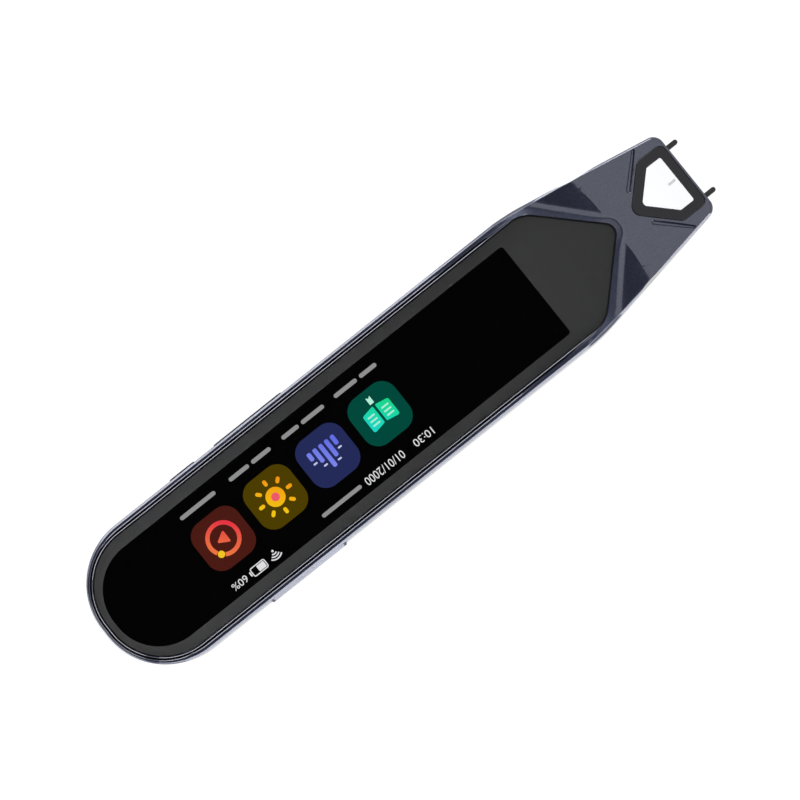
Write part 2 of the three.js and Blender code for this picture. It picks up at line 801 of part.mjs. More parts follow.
// Nib fork and what it works
const cameraFrontX = windowRearX - cameraWindowGap;
const barrelRearX = cameraFrontX - barrelLength;
const holderFrontX = cameraFrontX - barrelNose;
const holderRearX = barrelRearX - sensorGap;
const cameraBoardX = holderRearX - boardThickness;
const forkBarFrontX = cameraBoardX - forkBoardGap;
const forkBarRearX = forkBarFrontX - forkBarDepth;
const nibSwitchFrontX = forkBarRearX - forkTravel - slideGap;
const nibSwitchRearX = nibSwitchFrontX - nibSwitchLength;
const noseBoardX = nibSwitchRearX - boardMargin;
const noseBoardBottom = coverFloor + fitGap;
const noseBoardTop = noseBoardBottom + boardThickness;
const forkMid = footLift + footHeight / 2;

function nibFork() {
  const arms = [-1, 1].map((side) => {
    const centre = side * footSpacing / 2;
    const half = footThickness / 2;
    const outline = roundedOutline([
      { x: forkBarRearX, y: centre - half, r: half / 2, steps: smallArc },
      { x: overallLength, y: centre - half, r: half, steps: smallArc },
      { x: overallLength, y: centre + half, r: half, steps: smallArc },
      { x: forkBarRearX, y: centre + half, r: half / 2, steps: smallArc },
    ]);
    return prism(outline, footLift, footTop);
  });
  const bar = block(forkBarRearX, forkBarFrontX, -footSpacing / 2, footSpacing / 2, footLift, footTop);
  return joined([bar, ...arms]);
}

function nibSwitch() {
  const body = block(nibSwitchRearX, nibSwitchFrontX, -nibSwitchWidth / 2, nibSwitchWidth / 2,
    noseBoardTop, footTop + fitGap);
  const depth = plungerLength - slideGap + fitGap;
  return body.subtract(rodAlongX(nibSwitchFrontX - depth, nibSwitchFrontX + overrun, 0, forkMid,
    plungerRadius + slideGap));
}

function cameraHolder() {
  const base = block(holderRearX, holderFrontX, -footSpacing / 2 - railWidth / 2,
    footSpacing / 2 + railWidth / 2, coverFloor, coverFloor + boardThickness);
  const rails = [-1, 1].map((side) => spanAcross(side, footSpacing / 2 - railWidth / 2,
    footSpacing / 2 + railWidth / 2, holderRearX, holderFrontX, coverFloor, footLift - slideGap / 2));
  const cradle = block(holderRearX, holderFrontX, -holderWidth / 2, holderWidth / 2, coverFloor, holderTop);
  const bore = rodAlongX(holderRearX - overrun, holderFrontX + overrun, 0, cameraLift,
    barrelRadius + slideGap);
  return joined([base, ...rails, cradle]).subtract(bore);
}

function cameraBarrel() {
  const tube = rodAlongX(barrelRearX, cameraFrontX, 0, cameraLift, barrelRadius);
  return tube.subtract(rodAlongX(cameraFrontX - cameraLensDepth, cameraFrontX + overrun, 0, cameraLift,
    cameraLensRadius + windowFit));
}

// Switches, sockets, sound and small parts

function tactSwitch(x, side) {
  const outer = bayHalf - keyTravel - keyLipThickness - keyTravel - slideGap / 2;
  const body = spanAcross(side, outer - switchNubLength - switchDepth, outer - switchNubLength,
    x - switchLength / 2, x + switchLength / 2, boardTop, boardTop + switchHeight);
  const ends = [side * (outer - switchNubLength - switchDepth / 2), side * outer].sort((a, b) => a - b);
  return body.add(rodAlongY(ends[0], ends[1], x, boardTop + switchHeight / 2, switchNubRadius));
}

function socketShape(inset, x0, x1) {
  const half = socketWidth / 2 - inset;
  const rise = socketHeight / 2 - inset;
  const outline = roundedOutline([
    { x: -rise, y: -half, r: rise, steps: smallArc },
    { x: rise, y: -half, r: rise, steps: smallArc },
    { x: rise, y: half, r: rise, steps: smallArc },
    { x: -rise, y: half, r: rise, steps: smallArc },
  ]);
  const bar = loft([{ outline, height: level(x0) }, { outline, height: level(x1) }]);
  return solid(bar.rotateY(Math.PI / 2).translate(0, 0, socketLift));
}

function usbShell() {
  const tube = socketShape(0, socketRecess, socketRecess + socketLength);
  return tube.subtract(socketShape(socketWall, -overrun, socketRecess + socketLength - socketFloor));
}

function screw({ x, y }) {
  const head = post(x, y, screwHeadRecess, screwSeat, screwHeadRadius);
  const shank = post(x, y, screwSeat - screwHeadHeight / 2, screwSeat + screwLength, screwRadius);
  const half = screwHeadRadius * screwCrossShare;
  const slots = [
    block(x - half, x + half, y - screwCrossWidth / 2, y + screwCrossWidth / 2,
      screwHeadRecess - overrun, screwHeadRecess + screwCrossDepth),
    block(x - screwCrossWidth / 2, x + screwCrossWidth / 2, y - half, y + half,
      screwHeadRecess - overrun, screwHeadRecess + screwCrossDepth),
  ];
  return slots.reduce((left, slot) => left.subtract(slot), head.add(shank));
}

// Battery bay
const batteryRearX = boardFrontX + batteryGap;
const batteryFrontX = frontScrewX - coverBossRadius - fitGap;
const batteryHalf = bayHalf - batterySideGap;
const batteryBottom = coverFloor + batteryPadThickness;
const batteryTop = chassisBottom - batteryHeadroom;

function batteryCell() {
  const corners = [-1, 1].flatMap((side) => (side < 0
    ? [{ x: batteryRearX, y: -batteryHalf }, { x: batteryFrontX, y: -batteryHalf }]
    : [{ x: batteryFrontX, y: batteryHalf }, { x: batteryRearX, y: batteryHalf }]))
    .map((corner) => ({ ...corner, r: batteryEdgeRadius, steps: smallArc }));
  return solid(loft([
    { inset: batteryEdgeRadius / 2, z: batteryBottom },
    { inset: 0, z: batteryBottom + batteryEdgeRadius / 2 },
    { inset: 0, z: batteryTop - batteryEdgeRadius / 2 },
    { inset: batteryEdgeRadius / 2, z: batteryTop },
  ].map(({ inset, z }) => ({ outline: roundedOutline(corners, inset), height: level(z) }))));
}

// Flat leads
const displayConnectorTop = boardTop + displayConnectorHeight;
const cameraConnectorTop = boardTop + cameraConnectorHeight;
const connectorRearX = boardFrontX - connectorLength - boardMargin / 2;
const connectorFrontX = boardFrontX - boardMargin / 2;

function displayFlex() {
  const riseX = chassisFrontX + fitGap;
  const low = displayConnectorTop;
  return acrossPen([
    [connectorRearX, low],
    [riseX + flexThickness, low],
    [riseX + flexThickness, panelBottom],
    [panelFrontX - boardMargin, panelBottom],
    [panelFrontX - boardMargin, panelBottom - flexThickness],
    [riseX, panelBottom - flexThickness],
    [riseX, low + flexThickness],
    [connectorRearX, low + flexThickness],
  ], displayFlexWidth / 2);
}

// The whole pen, moved so that the origin lies under the middle of its length
const pen = new THREE.Group();
const add = (name, shape, look) => pen.add(piece(name, shape, look));

add('front_frame', frontFrame(), shellPaint);
add('rear_cover', rearCover(), shellPaint);
add('mid_chassis', midChassis(), castLook);
add('cover_glass', coverGlass(), coverGlassLook);
add('glass_adhesive', glassAdhesive(), glueLook);
add('display_panel', displayPanel(), panelLook);
add('backlight', backlight(), whiteFilm);
add('display_flex', displayFlex(), flexLook);

add('window_frame_front', windowFrame(frontSight, noseTop(-windowFrameDepth),
  noseTop(windowFrameProud)), blackPlastic);
add('window_frame_back', windowFrame(backSight, noseUnder(0), noseUnder(windowFrameDepth)), blackPlastic);
add('sight_lens_front', sightLens(
  frontSight,
  noseTop(-roofThickness - lensThickness),
  noseTop(-roofThickness),
  noseTop(-lensRecess),
  true,
), clearLook);
add('sight_lens_back', sightLens(
  backSight,
  noseUnder(lensRecess),
  noseUnder(coverFloor),
  noseUnder(coverFloor + lensThickness),
  false,
), clearLook);
add('scan_window', block(bodyLength - scanWindowRecess - scanWindowDepth, bodyLength - scanWindowRecess,
  -scanWindowWidth / 2, scanWindowWidth / 2, scanWindowLift, scanWindowLift + scanWindowHeight), clearLook);

add('nib_fork', nibFork(), blackPlastic);
add('nib_plunger', rodAlongX(forkBarRearX - plungerLength, forkBarRearX, 0, forkMid, plungerRadius),
  steelLook);
add('nib_switch', nibSwitch(), chipLook);
add('nose_board', block(noseBoardX, cameraBoardX - fitGap, -noseBoardWidth / 2, noseBoardWidth / 2,
  noseBoardBottom, noseBoardTop), boardLook);

add('camera_holder', cameraHolder(), blackPlastic);
add('camera_board', block(cameraBoardX, holderRearX, -cameraBoardWidth / 2, cameraBoardWidth / 2,
  noseBoardTop, holderTop), boardLook);
add('image_sensor', block(holderRearX, holderRearX + sensorThickness, -sensorSize / 2, sensorSize / 2,
  cameraLift - sensorSize / 2, cameraLift + sensorSize / 2), chipLook);
add('camera_barrel', cameraBarrel(), blackPlastic);
add('camera_lens', rodAlongX(cameraFrontX - cameraLensDepth, cameraFrontX - windowFit, 0, cameraLift,
  cameraLensRadius), clearLook);
const ledBoardX = holderFrontX + barrelNose - ledBoardLength;
add('led_board', block(ledBoardX, ledBoardX + ledBoardLength, -ledBoardWidth / 2, ledBoardWidth / 2,
  holderTop, holderTop + ledBoardThickness), boardLook);
[['led_left', 1], ['led_right', -1]].forEach(([name, side]) => {
  const centre = side * ledSpacing / 2;
  add(name, block(cameraFrontX - ledSize, cameraFrontX, centre - ledSize / 2, centre + ledSize / 2,
    holderTop - ledSize, holderTop), whiteFilm);
});
add('camera_flex', block(connectorRearX, cameraBoardX - windowFit,
  -cameraFlexShift - cameraFlexWidth / 2, -cameraFlexShift + cameraFlexWidth / 2,
  cameraConnectorTop, cameraConnectorTop + flexThickness), flexLook);

Object.entries(keys).forEach(([name, key]) => add(name, keyShape(key), keyPlastic));
add('power_switch', tactSwitch(powerKeyX, 1), steelLook);
add('volume_switch_rear', tactSwitch(volumeKeyX - volumeSwitchSpacing / 2, 1), steelLook);
add('volume_switch_front', tactSwitch(volumeKeyX + volumeSwitchSpacing / 2, 1), steelLook);
add('function_switch', tactSwitch(functionKeyX, -1), steelLook);

add('main_board', block(boardRearX, boardFrontX, -boardHalf, boardHalf, boardLift, boardTop), boardLook);
const shieldX = boardFrontX - boardMargin - shieldLength;
add('shield_can', block(shieldX, shieldX + shieldLength, -shieldWidth / 2, shieldWidth / 2,
  boardLift - shieldHeight, boardLift), steelLook);
const chipX = speakerX + speakerLength / 2 + fitGap;
add('memory_chip', block(chipX, chipX + chipSize / 2, -chipSize / 2, chipSize / 2,
  boardLift - chipHeight, boardLift), chipLook);
add('processor_chip', block(functionKeyX - chipSize / 2, functionKeyX + chipSize / 2,
  -chipSize / 2, chipSize / 2, boardTop, boardTop + chipHeight), chipLook);
add('display_connector', block(connectorRearX, connectorFrontX, boardMargin,
  displayFlexWidth / 2, boardTop, displayConnectorTop), blackPlastic);
add('camera_connector', block(connectorRearX, connectorFrontX, -cameraFlexShift - cameraFlexWidth / 2,
  -cameraFlexShift + cameraFlexWidth / 2, boardTop, cameraConnectorTop), blackPlastic);

add('battery_cell', batteryCell(), cellLook);
add('battery_pad', block(batteryRearX + batteryEdgeRadius, batteryFrontX - batteryEdgeRadius,
  batteryEdgeRadius - batteryHalf, batteryHalf - batteryEdgeRadius, coverFloor, batteryBottom), glueLook);
add('battery_board', block(batteryRearX - cellBoardLength, batteryRearX, -displayFlexWidth / 2,
  displayFlexWidth / 2, batteryBottom + batteryEdgeRadius / 2, batteryTop - cellBoardDrop), boardLook);

add('speaker_mesh', block(speakerX - speakerLength / 2, speakerX + speakerLength / 2,
  -speakerWidth / 2, speakerWidth / 2, coverFloor, coverFloor + speakerMeshThickness), steelLook);
add('speaker_box', block(speakerX - speakerLength / 2, speakerX + speakerLength / 2,
  -speakerWidth / 2, speakerWidth / 2, coverFloor + speakerMeshThickness,
  boardLift - speakerHeadroom), blackPlastic);
add('wifi_antenna', block(antennaX - antennaLength / 2, antennaX + antennaLength / 2,
  -bayHalf + windowFit, -bayHalf + windowFit + antennaThickness, seamHeight, seamHeight + antennaHeight),
flexLook);

const usbBoardRearX = wall + fitGap + socketRecess;
const usbBoardTop = socketLift - socketHeight / 2;
const usbBoardBottom = usbBoardTop - boardThickness;
add('vibration_motor', post(motorX, 0, coverFloor, usbBoardBottom - fitGap, motorRadius), steelLook);
const rearBay = plate(bayCorners, 0, bodyHeight, fitGap);
const usbBoardHalf = micSpacing + micSize / 2;
add('usb_board', block(usbBoardRearX, usbBoardRearX + usbBoardLength, -usbBoardHalf, usbBoardHalf,
  usbBoardBottom, usbBoardTop).intersect(rearBay), boardLook);
add('usb_shell', usbShell(), steelLook);
add('usb_tongue', block(socketRecess + tongueSetback, socketRecess + socketLength - socketFloor,
  -tongueWidth / 2, tongueWidth / 2, socketLift - tongueThickness / 2,
  socketLift + tongueThickness / 2), blackPlastic);
// The microphone stands just inside the round rear wall
const wallRunIn = Math.sqrt((rearCornerRadius - wall) ** 2 - (usbBoardHalf - rearFlat / 2) ** 2);
const micX = rearCornerRadius - wallRunIn + micWallGap;
add('microphone', block(micX, micX + micDepth, micSpacing - micSize / 2, usbBoardHalf,
  usbBoardTop, usbBoardTop + micSize), steelLook);

const screwNames = ['screw_rear_right', 'screw_rear_left', 'screw_front_right', 'screw_front_left',
  'screw_nose_right', 'screw_nose_left'];
screwPlaces.forEach((place, i) => add(screwNames[i], screw(place), steelLook));

pen.position.x = -overallLength / 2;

const model = new THREE.Group();
model.add(pen);

export default model;
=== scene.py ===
"""Scanning pen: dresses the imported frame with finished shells, glass, screen, windows, keys and nib."""
import math

import bmesh
import bpy
from bpy.props import FloatProperty, FloatVectorProperty, PointerProperty, StringProperty
from mathutils import Matrix, Vector
from mathutils.geometry import intersect_point_line


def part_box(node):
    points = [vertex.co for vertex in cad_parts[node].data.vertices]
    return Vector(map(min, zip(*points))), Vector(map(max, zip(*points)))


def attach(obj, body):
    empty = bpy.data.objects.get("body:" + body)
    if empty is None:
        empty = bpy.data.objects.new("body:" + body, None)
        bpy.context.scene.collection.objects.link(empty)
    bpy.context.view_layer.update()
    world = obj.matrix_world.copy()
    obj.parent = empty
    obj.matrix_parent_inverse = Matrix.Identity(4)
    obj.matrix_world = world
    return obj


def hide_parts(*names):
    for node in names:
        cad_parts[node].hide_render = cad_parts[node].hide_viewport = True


bl_info = {
    "name": "Scanning Pen",
    "version": (1, 0, 0),
    "blender": (4, 5, 0),
    "location": "3D View > Sidebar > Scanning Pen",
    "description": "Builds the finished pieces of a scanning pen round its engineering frame",
    "category": "Object",
}

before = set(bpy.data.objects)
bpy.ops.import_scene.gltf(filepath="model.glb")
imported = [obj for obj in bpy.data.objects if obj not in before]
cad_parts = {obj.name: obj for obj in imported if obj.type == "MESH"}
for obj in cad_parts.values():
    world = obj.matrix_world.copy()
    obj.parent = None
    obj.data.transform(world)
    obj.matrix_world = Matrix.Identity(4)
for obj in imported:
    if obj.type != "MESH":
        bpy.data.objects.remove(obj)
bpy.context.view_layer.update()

# Lengths below are millimetres from the blunt rear end, unless a name says otherwise
MM = 0.001
REAR_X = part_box("front_frame")[0].x / MM
PLACE = Matrix.Scale(MM, 4) @ Matrix.Translation((REAR_X, 0, 0))

SHOULDER_X = 124.2
SHOULDER_RADIUS = 40.0
BODY_LENGTH = 161.3
SIDE_Y = 17.0
TIP_HALF = 10.45
TIP_RADIUS = 2.5
# Segments of the body's corners, which the glass shares so that rings round both have as many points
REAR_ARC, SHOULDER_ARC, TIP_ARC = 28, 8, 11
WALL = 1.3
BAY_FRONT_X = 122.0
SEAM_Z = 4.0
SEAM_GAP = 0.15
BACK_RADIUS = 2.2
RIM_Z = 11.6
TOP_Z = 12.0
FLOOR_Z = 1.2

SIDE_END = 1.24
SIDE_LEDGE = 1.06
SIDE_STEP = 0.12
SIDE_CHAMFER = 0.15
# Lean of the rounded edge in degrees at depths from the side
SIDE_LEANS = ((0.0, 50), (0.03, 41.5), (0.2, 40.5), (0.46, 38), (0.56, 22), (0.75, 12), (SIDE_LEDGE, 4))
# Depths at which the skin has a ring of points
SIDE_RINGS = (0.0, 0.015, 0.03, 0.11, 0.2, 0.28, 0.36, 0.46, 0.51, 0.56, 0.65, 0.75, 0.9, SIDE_LEDGE,
              SIDE_LEDGE + SIDE_CHAMFER, SIDE_END)

GLASS_REAR_X = 1.45
# The glass's apex lies so far in front of the body's shoulder
GLASS_REACH = 17.7
GLASS_APEX_RADIUS = 2.4
GLASS_SHOULDER_RADIUS = 6.0
GLASS_CHAMFER, GLASS_CHAMFER_DROP = 0.1, 0.06
GLASS_Z = 11.16
GLASS_GAP = 0.2
RIM_OUT = 0.82
FRONT_RIM_OUT = 0.25
# Rings of the rim: how far out of the glass they lie along the sides and at the nose, and how deep
RIM_RINGS = ((RIM_OUT, FRONT_RIM_OUT, 0.0), (0.815, 0.245, 0.03), (0.81, 0.24, 0.5), (0.335, 0.235, 0.5),
             (0.33, 0.23, 0.04), (0.32, 0.225, 0.0), (0.17, 0.22, -0.124), (0.15, 0.21, -0.124),
             (0.14, 0.19, -0.1), (0.1, 0.1, 0.3))
RIM_LEVEL_X = 60
FRONT_RIM_X, FRONT_RIM_FADE = 121.0, 5.0
PANEL_TOP_Z = 11.1
LEDGE_Z = 10.9
LEDGE_UNDER_Z = 10.0
NOSE_EDGE_IN = 0.6
SCREEN_REAR_X = 3.0
SCREEN_REAR_RADIUS = 11.5
SCREEN_FRONT_X = 119.6
SCREEN_FRONT_RADIUS = 0.8
SCREEN_MARGIN = 0.65
# How far out of the glass the black strip at the bottom of the rim's groove starts and ends: painted shade,
# which makes the groove read black
RIM_SHADE_IN, RIM_SHADE_OUT = 0.32, 0.82

CREST_X = 141.0
CREST_Z = 10.6
# The crest turns back towards the sides, from a share of the half width on
CREST_TURN = 0.4
CREST_SWEEP = 1.3
CREST_BLEND = 6.0
TIP_Z = 8.4
SHOULDER_DECK_X = 119.6
SHOULDER_DECK_Z = 9.6
FACET_SLOPE = 0.65
FACET_X, FACET_FADE = 118.5, 6.5
APEX_HALF, APEX_FADE = 5.0, 3.0
UNDERSIDE_X = 144.5
UNDERSIDE_LIFT = 1.6
NOSE_BAY_X = 145.7
NOSE_BAY_Z = 8.3

WINDOW_FRONT_X = 160.65
WINDOW_REAR_X = 146.75
WINDOW_HALF = 8.15
WINDOW_APEX_RADIUS = 2.1
WINDOW_CORNER_RADIUS = 1.6
WINDOW_POINT_X = WINDOW_REAR_X - WINDOW_APEX_RADIUS * (math.sqrt(2) - 1)
FRAME_DEPTH = 0.8
FRAME_PROUD = 0.1
ROOF = 1.3
LENS_THICKNESS = 0.8
LENS_RECESS = 0.2
GROOVE_LENGTH = 9.8
GROOVE_WIDTH = 1.0
GROOVE_DEPTH = 0.32
GROOVE_OFF = 1.1
GROOVE_START = 4.0
GROOVE_TAPER = 0.4
NOSE_SLOPE = (CREST_Z - TIP_Z) / (BODY_LENGTH - CREST_X)
UNDER_SLOPE = UNDERSIDE_LIFT / (BODY_LENGTH - UNDERSIDE_X)

KEY_Z = 6.6
KEY_HEIGHT = 2.4
KEY_PROUD = 0.5
KEY_GAP = 0.15
KEY_LIP = 0.7
KEY_ROUND = 0.15
PAINTED_KEY_CHAMFER, PAINTED_KEY_ROUND = 0.55, 0.12
KEYS = {
    "power_key": (34.55, 6.7, 1),
    "volume_key": (52.75, 18.7, 1),
    "function_key": (42.75, 21.3, -1),
}
FOOT_HALF = 0.565
FOOT_SLOT_X = 158.0
FOOT_SLOT_Z = (4.6, 6.3)
SCAN_SLOT_HALF = 5.0
SCAN_SLOT_Z = (4.15, 6.05)
SOCKET_Z = 6.25
SOCKET_HEIGHT, SOCKET_WIDTH = 3.2, 9.0
MICROPHONE_Y = 6.6
MICROPHONE_RADIUS = 0.45
BOSS_RADIUS, BOSS_TOP = 2.5, 2.35
SCREW_HEAD_HOLE, SCREW_HEAD_DEPTH, SCREW_HOLE = 1.5, 1.05, 0.9
SPEAKER_SLOTS, SPEAKER_PITCH = 6, 1.7
# Where the camera looks at the top of the glass
CAMERA_X, CAMERA_Y = 81.5, -0.4


def mm(metres):
    return metres / MM


def half_width(part):
    """Half the width that the body, the glass or the screen is given."""
    return mm(getattr(bpy.context.scene.pen_sizes, f"{part}_width")) / 2


def pen_box(name):
    """Low and high corner of an engineering piece's box."""
    return [(mm(corner.x) - REAR_X, mm(corner.y), mm(corner.z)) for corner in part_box(name)]


def box_middle(name):
    low, high = pen_box(name)
    return (low[0] + high[0]) / 2, (low[1] + high[1]) / 2


def screw_names():
    return [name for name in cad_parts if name.startswith("screw_")]


def clamped(value):
    return min(max(value, 0.0), 1.0)


def eased(value):
    """A share from 0 to 1 with a soft start and end."""
    share = clamped(value)
    return share * share * (3 - 2 * share)


# Outlines and small mesh tools


def both_sides(*side, tip=()):
    """Corners of an outline that is alike on both sides, from those of its upper side in order of x."""
    return [*((x, -y, radius, arc) for x, y, radius, arc in side), *tip, *reversed(side)]


def box_corners(x, y, radius, arc):
    """Corners of a rounded rectangle round the origin, from half its length and half its width."""
    return both_sides((-x, y, radius, arc), (x, y, radius, arc))


def stadium(length, width, arc=8):
    """Corners of a long shape with round ends, centred on the origin."""
    return box_corners(length / 2, width / 2, min(length, width) / 2 * 0.999, arc)


def inset_corners(corners, inset=0.0):
    """Corners moved in by inset, each with its place, tangent length and count of segments."""
    lines = []
    for i, corner in enumerate(corners):
        following = corners[(i + 1) % len(corners)]
        along = Vector((following[0] - corner[0], following[1] - corner[1])).normalized()
        lines.append((Vector(corner[:2]) + Vector((-along.y, along.x)) * inset, along))
    places = []
    for i, (_, _, radius, segments) in enumerate(corners):
        (start, before), (end, after) = lines[i - 1], lines[i]
        cross = before.x * after.y - before.y * after.x
        apart = end - start
        reach = (apart.x * after.y - apart.y * after.x) / cross
        turn = math.atan2(cross, before.dot(after))
        tangent = max(radius - inset, radius / 10) * math.tan(abs(turn) / 2)
        places.append((start + before * reach, tangent, segments))
    return places


def outline_mesh(corners, inset=0.0, z=0.0):
    """One flat face with rounded corners."""
    bm = bmesh.new()
    places = inset_corners(corners, inset)
    verts = [bm.verts.new((place.x, place.y, z)) for place, _, _ in places]
    bm.faces.new(verts)
    for vert, (_, reach, segments) in zip(verts, places):
        if segments:
            bmesh.ops.bevel(bm, geom=[vert], offset=reach, offset_type="OFFSET", segments=segments,
                            profile=0.5, affect="VERTICES", material=-1, clamp_overlap=False)
    return bm


def outline_points(corners, inset=0.0):
    bm = outline_mesh(corners, inset)
    bm.faces.ensure_lookup_table()
    points = [Vector(vert.co.xy) for vert in bm.faces[0].verts]
    bm.free()
    return points


def raise_face(bm, height):
    """Extrudes every face upwards into a closed solid and returns the new top verts."""
    out = bmesh.ops.extrude_face_region(bm, geom=list(bm.faces), use_keep_orig=True)
    top = [item for item in out["geom"] if isinstance(item, bmesh.types.BMVert)]
    bmesh.ops.translate(bm, verts=top, vec=(0, 0, height))
    bmesh.ops.recalc_face_normals(bm, faces=bm.faces)
    return top


def prism(corners, bottom, top, inset=0.0):
    """A plate whose lower and upper heights are numbers or rules of x."""
    bm = outline_mesh(corners, inset)
    upper = set(raise_face(bm, 1.0))
    for vert in bm.verts:
        height = top if vert in upper else bottom
        vert.co.z = height(vert.co.x) if callable(height) else height
    return bm


def block(x0, x1, y0, y1, z0, z1, bevel=0.0, segments=2):
    bm = bmesh.new()
    bmesh.ops.create_cube(bm, size=1.0)
    bmesh.ops.scale(bm, vec=(x1 - x0, y1 - y0, z1 - z0), verts=bm.verts)
    moved(bm, (x0 + x1) / 2, (y0 + y1) / 2, (z0 + z1) / 2)
    if bevel:
        soften(bm, list(bm.edges), bevel, segments)
    return bm


def rod(start, end, radius, segments=32):
    """A round bar between two points."""
    bm = bmesh.new()
    start, end = Vector(start), Vector(end)
    bmesh.ops.create_cone(bm, cap_ends=True, segments=segments, radius1=radius, radius2=radius,
                          depth=(end - start).length)
    turn = Vector((0, 0, 1)).rotation_difference(end - start).to_matrix()
    bmesh.ops.rotate(bm, verts=bm.verts, cent=(0, 0, 0), matrix=turn)
    bmesh.ops.translate(bm, verts=bm.verts, vec=(start + end) / 2)
    return bm


def moved(bm, x=0.0, y=0.0, z=0.0):
    bmesh.ops.translate(bm, verts=bm.verts, vec=(x, y, z))
    return bm


def turned(bm, angle, axis="Z"):
    bmesh.ops.rotate(bm, verts=bm.verts, cent=(0, 0, 0), matrix=Matrix.Rotation(angle, 3, axis))
    return bm


def flipped(bm, vec):
    """Mirrors a mesh and turns its faces the right way out again."""
    bmesh.ops.scale(bm, vec=vec, verts=bm.verts)
    bmesh.ops.reverse_faces(bm, faces=bm.faces)
    return bm


def lifted(bm, rule):
    """Raises every vert by a rule of x."""
    for vert in bm.verts:
        vert.co.z += rule(vert.co.x)
    return bm


def along_y(bm, y):
    """Stands a piece drawn flat in x and y up, so that its height runs along y."""
    return moved(turned(bm, -math.pi / 2, "X"), y=y)


def sliced(bm, x, dist=0.0):
    """Adds edges where a mesh crosses the plane at x."""
    bmesh.ops.bisect_plane(bm, geom=[*bm.verts, *bm.edges, *bm.faces], dist=dist,
                           plane_co=(x, 0, 0), plane_no=(1, 0, 0))
    return bm


def soften(bm, edges, width, segments=2, clamp=True):
    bmesh.ops.bevel(bm, geom=edges, offset=width, offset_type="OFFSET", segments=segments,
                    profile=0.5, affect="EDGES", material=-1, clamp_overlap=clamp)


def sharp_edges(bm, degrees):
    """Edges whose faces turn by more than the given angle."""
    limit = math.radians(degrees)
    return [edge for edge in bm.edges if len(edge.link_faces) == 2 and edge.calc_face_angle(0) > limit]


def level_edges(bm, degrees):
    """Sharp edges that lie level."""
    return [edge for edge in sharp_edges(bm, degrees) if abs(edge.verts[0].co.z - edge.verts[1].co.z) < 0.01]


def edges_above(edges, z):
    return [edge for edge in edges if all(vert.co.z > z for vert in edge.verts)]


def mesh_object(bm, name):
    mesh = bpy.data.meshes.new(name)
    bm.to_mesh(mesh)
    bm.free()
    obj = bpy.data.objects.new(name, mesh)
    bpy.context.scene.collection.objects.link(obj)
    return obj


def carve(bm, cutters, operation="DIFFERENCE"):
    """Cuts solids from a solid, or joins them to it, one after the other."""
    for cutter in cutters:
        base = mesh_object(bm, "carve_base")
        tool = mesh_object(cutter, "carve_tool")
        change = base.modifiers.new("carve", "BOOLEAN")
        change.operation = operation
        change.object = tool
        change.solver = "MANIFOLD"
        view = bpy.context.evaluated_depsgraph_get()
        result = base.evaluated_get(view).to_mesh()
        bm = bmesh.new()
        bm.from_mesh(result)
        base.evaluated_get(view).to_mesh_clear()
        for obj in (base, tool):
            mesh = obj.data
            bpy.data.objects.remove(obj)
            bpy.data.meshes.remove(mesh)
        if not bm.faces:
            raise RuntimeError("a cut left nothing of the piece")
    return bm


def gathered(meshes):
    """Several closed meshes put together in one."""
    whole = bmesh.new()
    for bm in meshes:
        part = bpy.data.meshes.new("part")
        bm.to_mesh(part)
        bm.free()
        whole.from_mesh(part)
        bpy.data.meshes.remove(part)
    return whole


def keep_piece(bm, name, material, body="body", replaces=(), smooth=35.0, crease=None):
    """Places a finished mesh in the frame and gives it its finish, body and slot."""
    bmesh.ops.transform(bm, matrix=PLACE, verts=bm.verts)
    obj = mesh_object(bm, name)
    if smooth:
        obj.data.shade_smooth()
        obj.data.set_sharp_from_angle(angle=math.radians(smooth))
        points = obj.data.vertices
        for edge in obj.data.edges:
            if crease and all(crease(points[i].co) for i in edge.vertices):
                edge.use_edge_sharp = True
        normals = obj.modifiers.new("normals", "WEIGHTED_NORMAL")
        normals.keep_sharp = True
        normals.weight = 50
    obj.data.materials.append(material)
    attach(obj, body)
    if replaces:
        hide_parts(*replaces)
    return obj


# Outlines of this pen


def body_corners():
    half = half_width("body")
    return both_sides((0, half, half - 1, REAR_ARC), (SHOULDER_X, half, SHOULDER_RADIUS, SHOULDER_ARC),
                      (BODY_LENGTH, TIP_HALF, TIP_RADIUS, TIP_ARC))


def glass_corners(arc=REAR_ARC):
    half = half_width("glass")
    front = SHOULDER_X + GLASS_REACH - half
    return both_sides((GLASS_REAR_X, half, half - 1, arc), (front, half, GLASS_SHOULDER_RADIUS, SHOULDER_ARC),
                      tip=[(front + half, 0, GLASS_APEX_RADIUS, 2 * TIP_ARC + 1)])


def screen_corners(border=0.0):
    half = half_width("screen") + border
    return both_sides((SCREEN_REAR_X - border, half, SCREEN_REAR_RADIUS + border, 24),
                      (SCREEN_FRONT_X + border, half, SCREEN_FRONT_RADIUS + border, 6))


def window_corners(side_bar=0.0, tip_bar=0.0):
    """The sight window's outline, or that of the hole in a frame with bars of the given widths."""
    point = WINDOW_POINT_X + side_bar * math.sqrt(2)
    half = WINDOW_HALF - side_bar
    radius = WINDOW_CORNER_RADIUS - side_bar / 2
    return [(point, 0, WINDOW_APEX_RADIUS - side_bar / 2, 14),
            *both_sides((point + half, half, radius, 6), (WINDOW_FRONT_X - tip_bar, half, radius, 6))]


def bay_corners():
    inner = half_width("body") - WALL
    return both_sides((WALL, inner, inner - 1, 20), (BAY_FRONT_X, inner, 3, 6))


def nose_top(shift=0.0):
    return lambda x: CREST_Z - (x - CREST_X) * NOSE_SLOPE + shift


def nose_under(shift=0.0):
    return lambda x: (x - UNDERSIDE_X) * UNDER_SLOPE + shift


def taper_share(point):
    """The nose's taper, and a point's place across it: 0 on the centre line, 1 at the edge."""
    half = half_width("body")
    taper = (half - TIP_HALF) / (BODY_LENGTH - SHOULDER_X)
    return taper, abs(point.y) / (half - (point.x - SHOULDER_X) * taper)


def crest_at(point):
    """Where the crest lies along x, beside a point."""
    share = clamped((taper_share(point)[1] - CREST_TURN) / (1 - CREST_TURN))
    return CREST_X - CREST_SWEEP * share * share


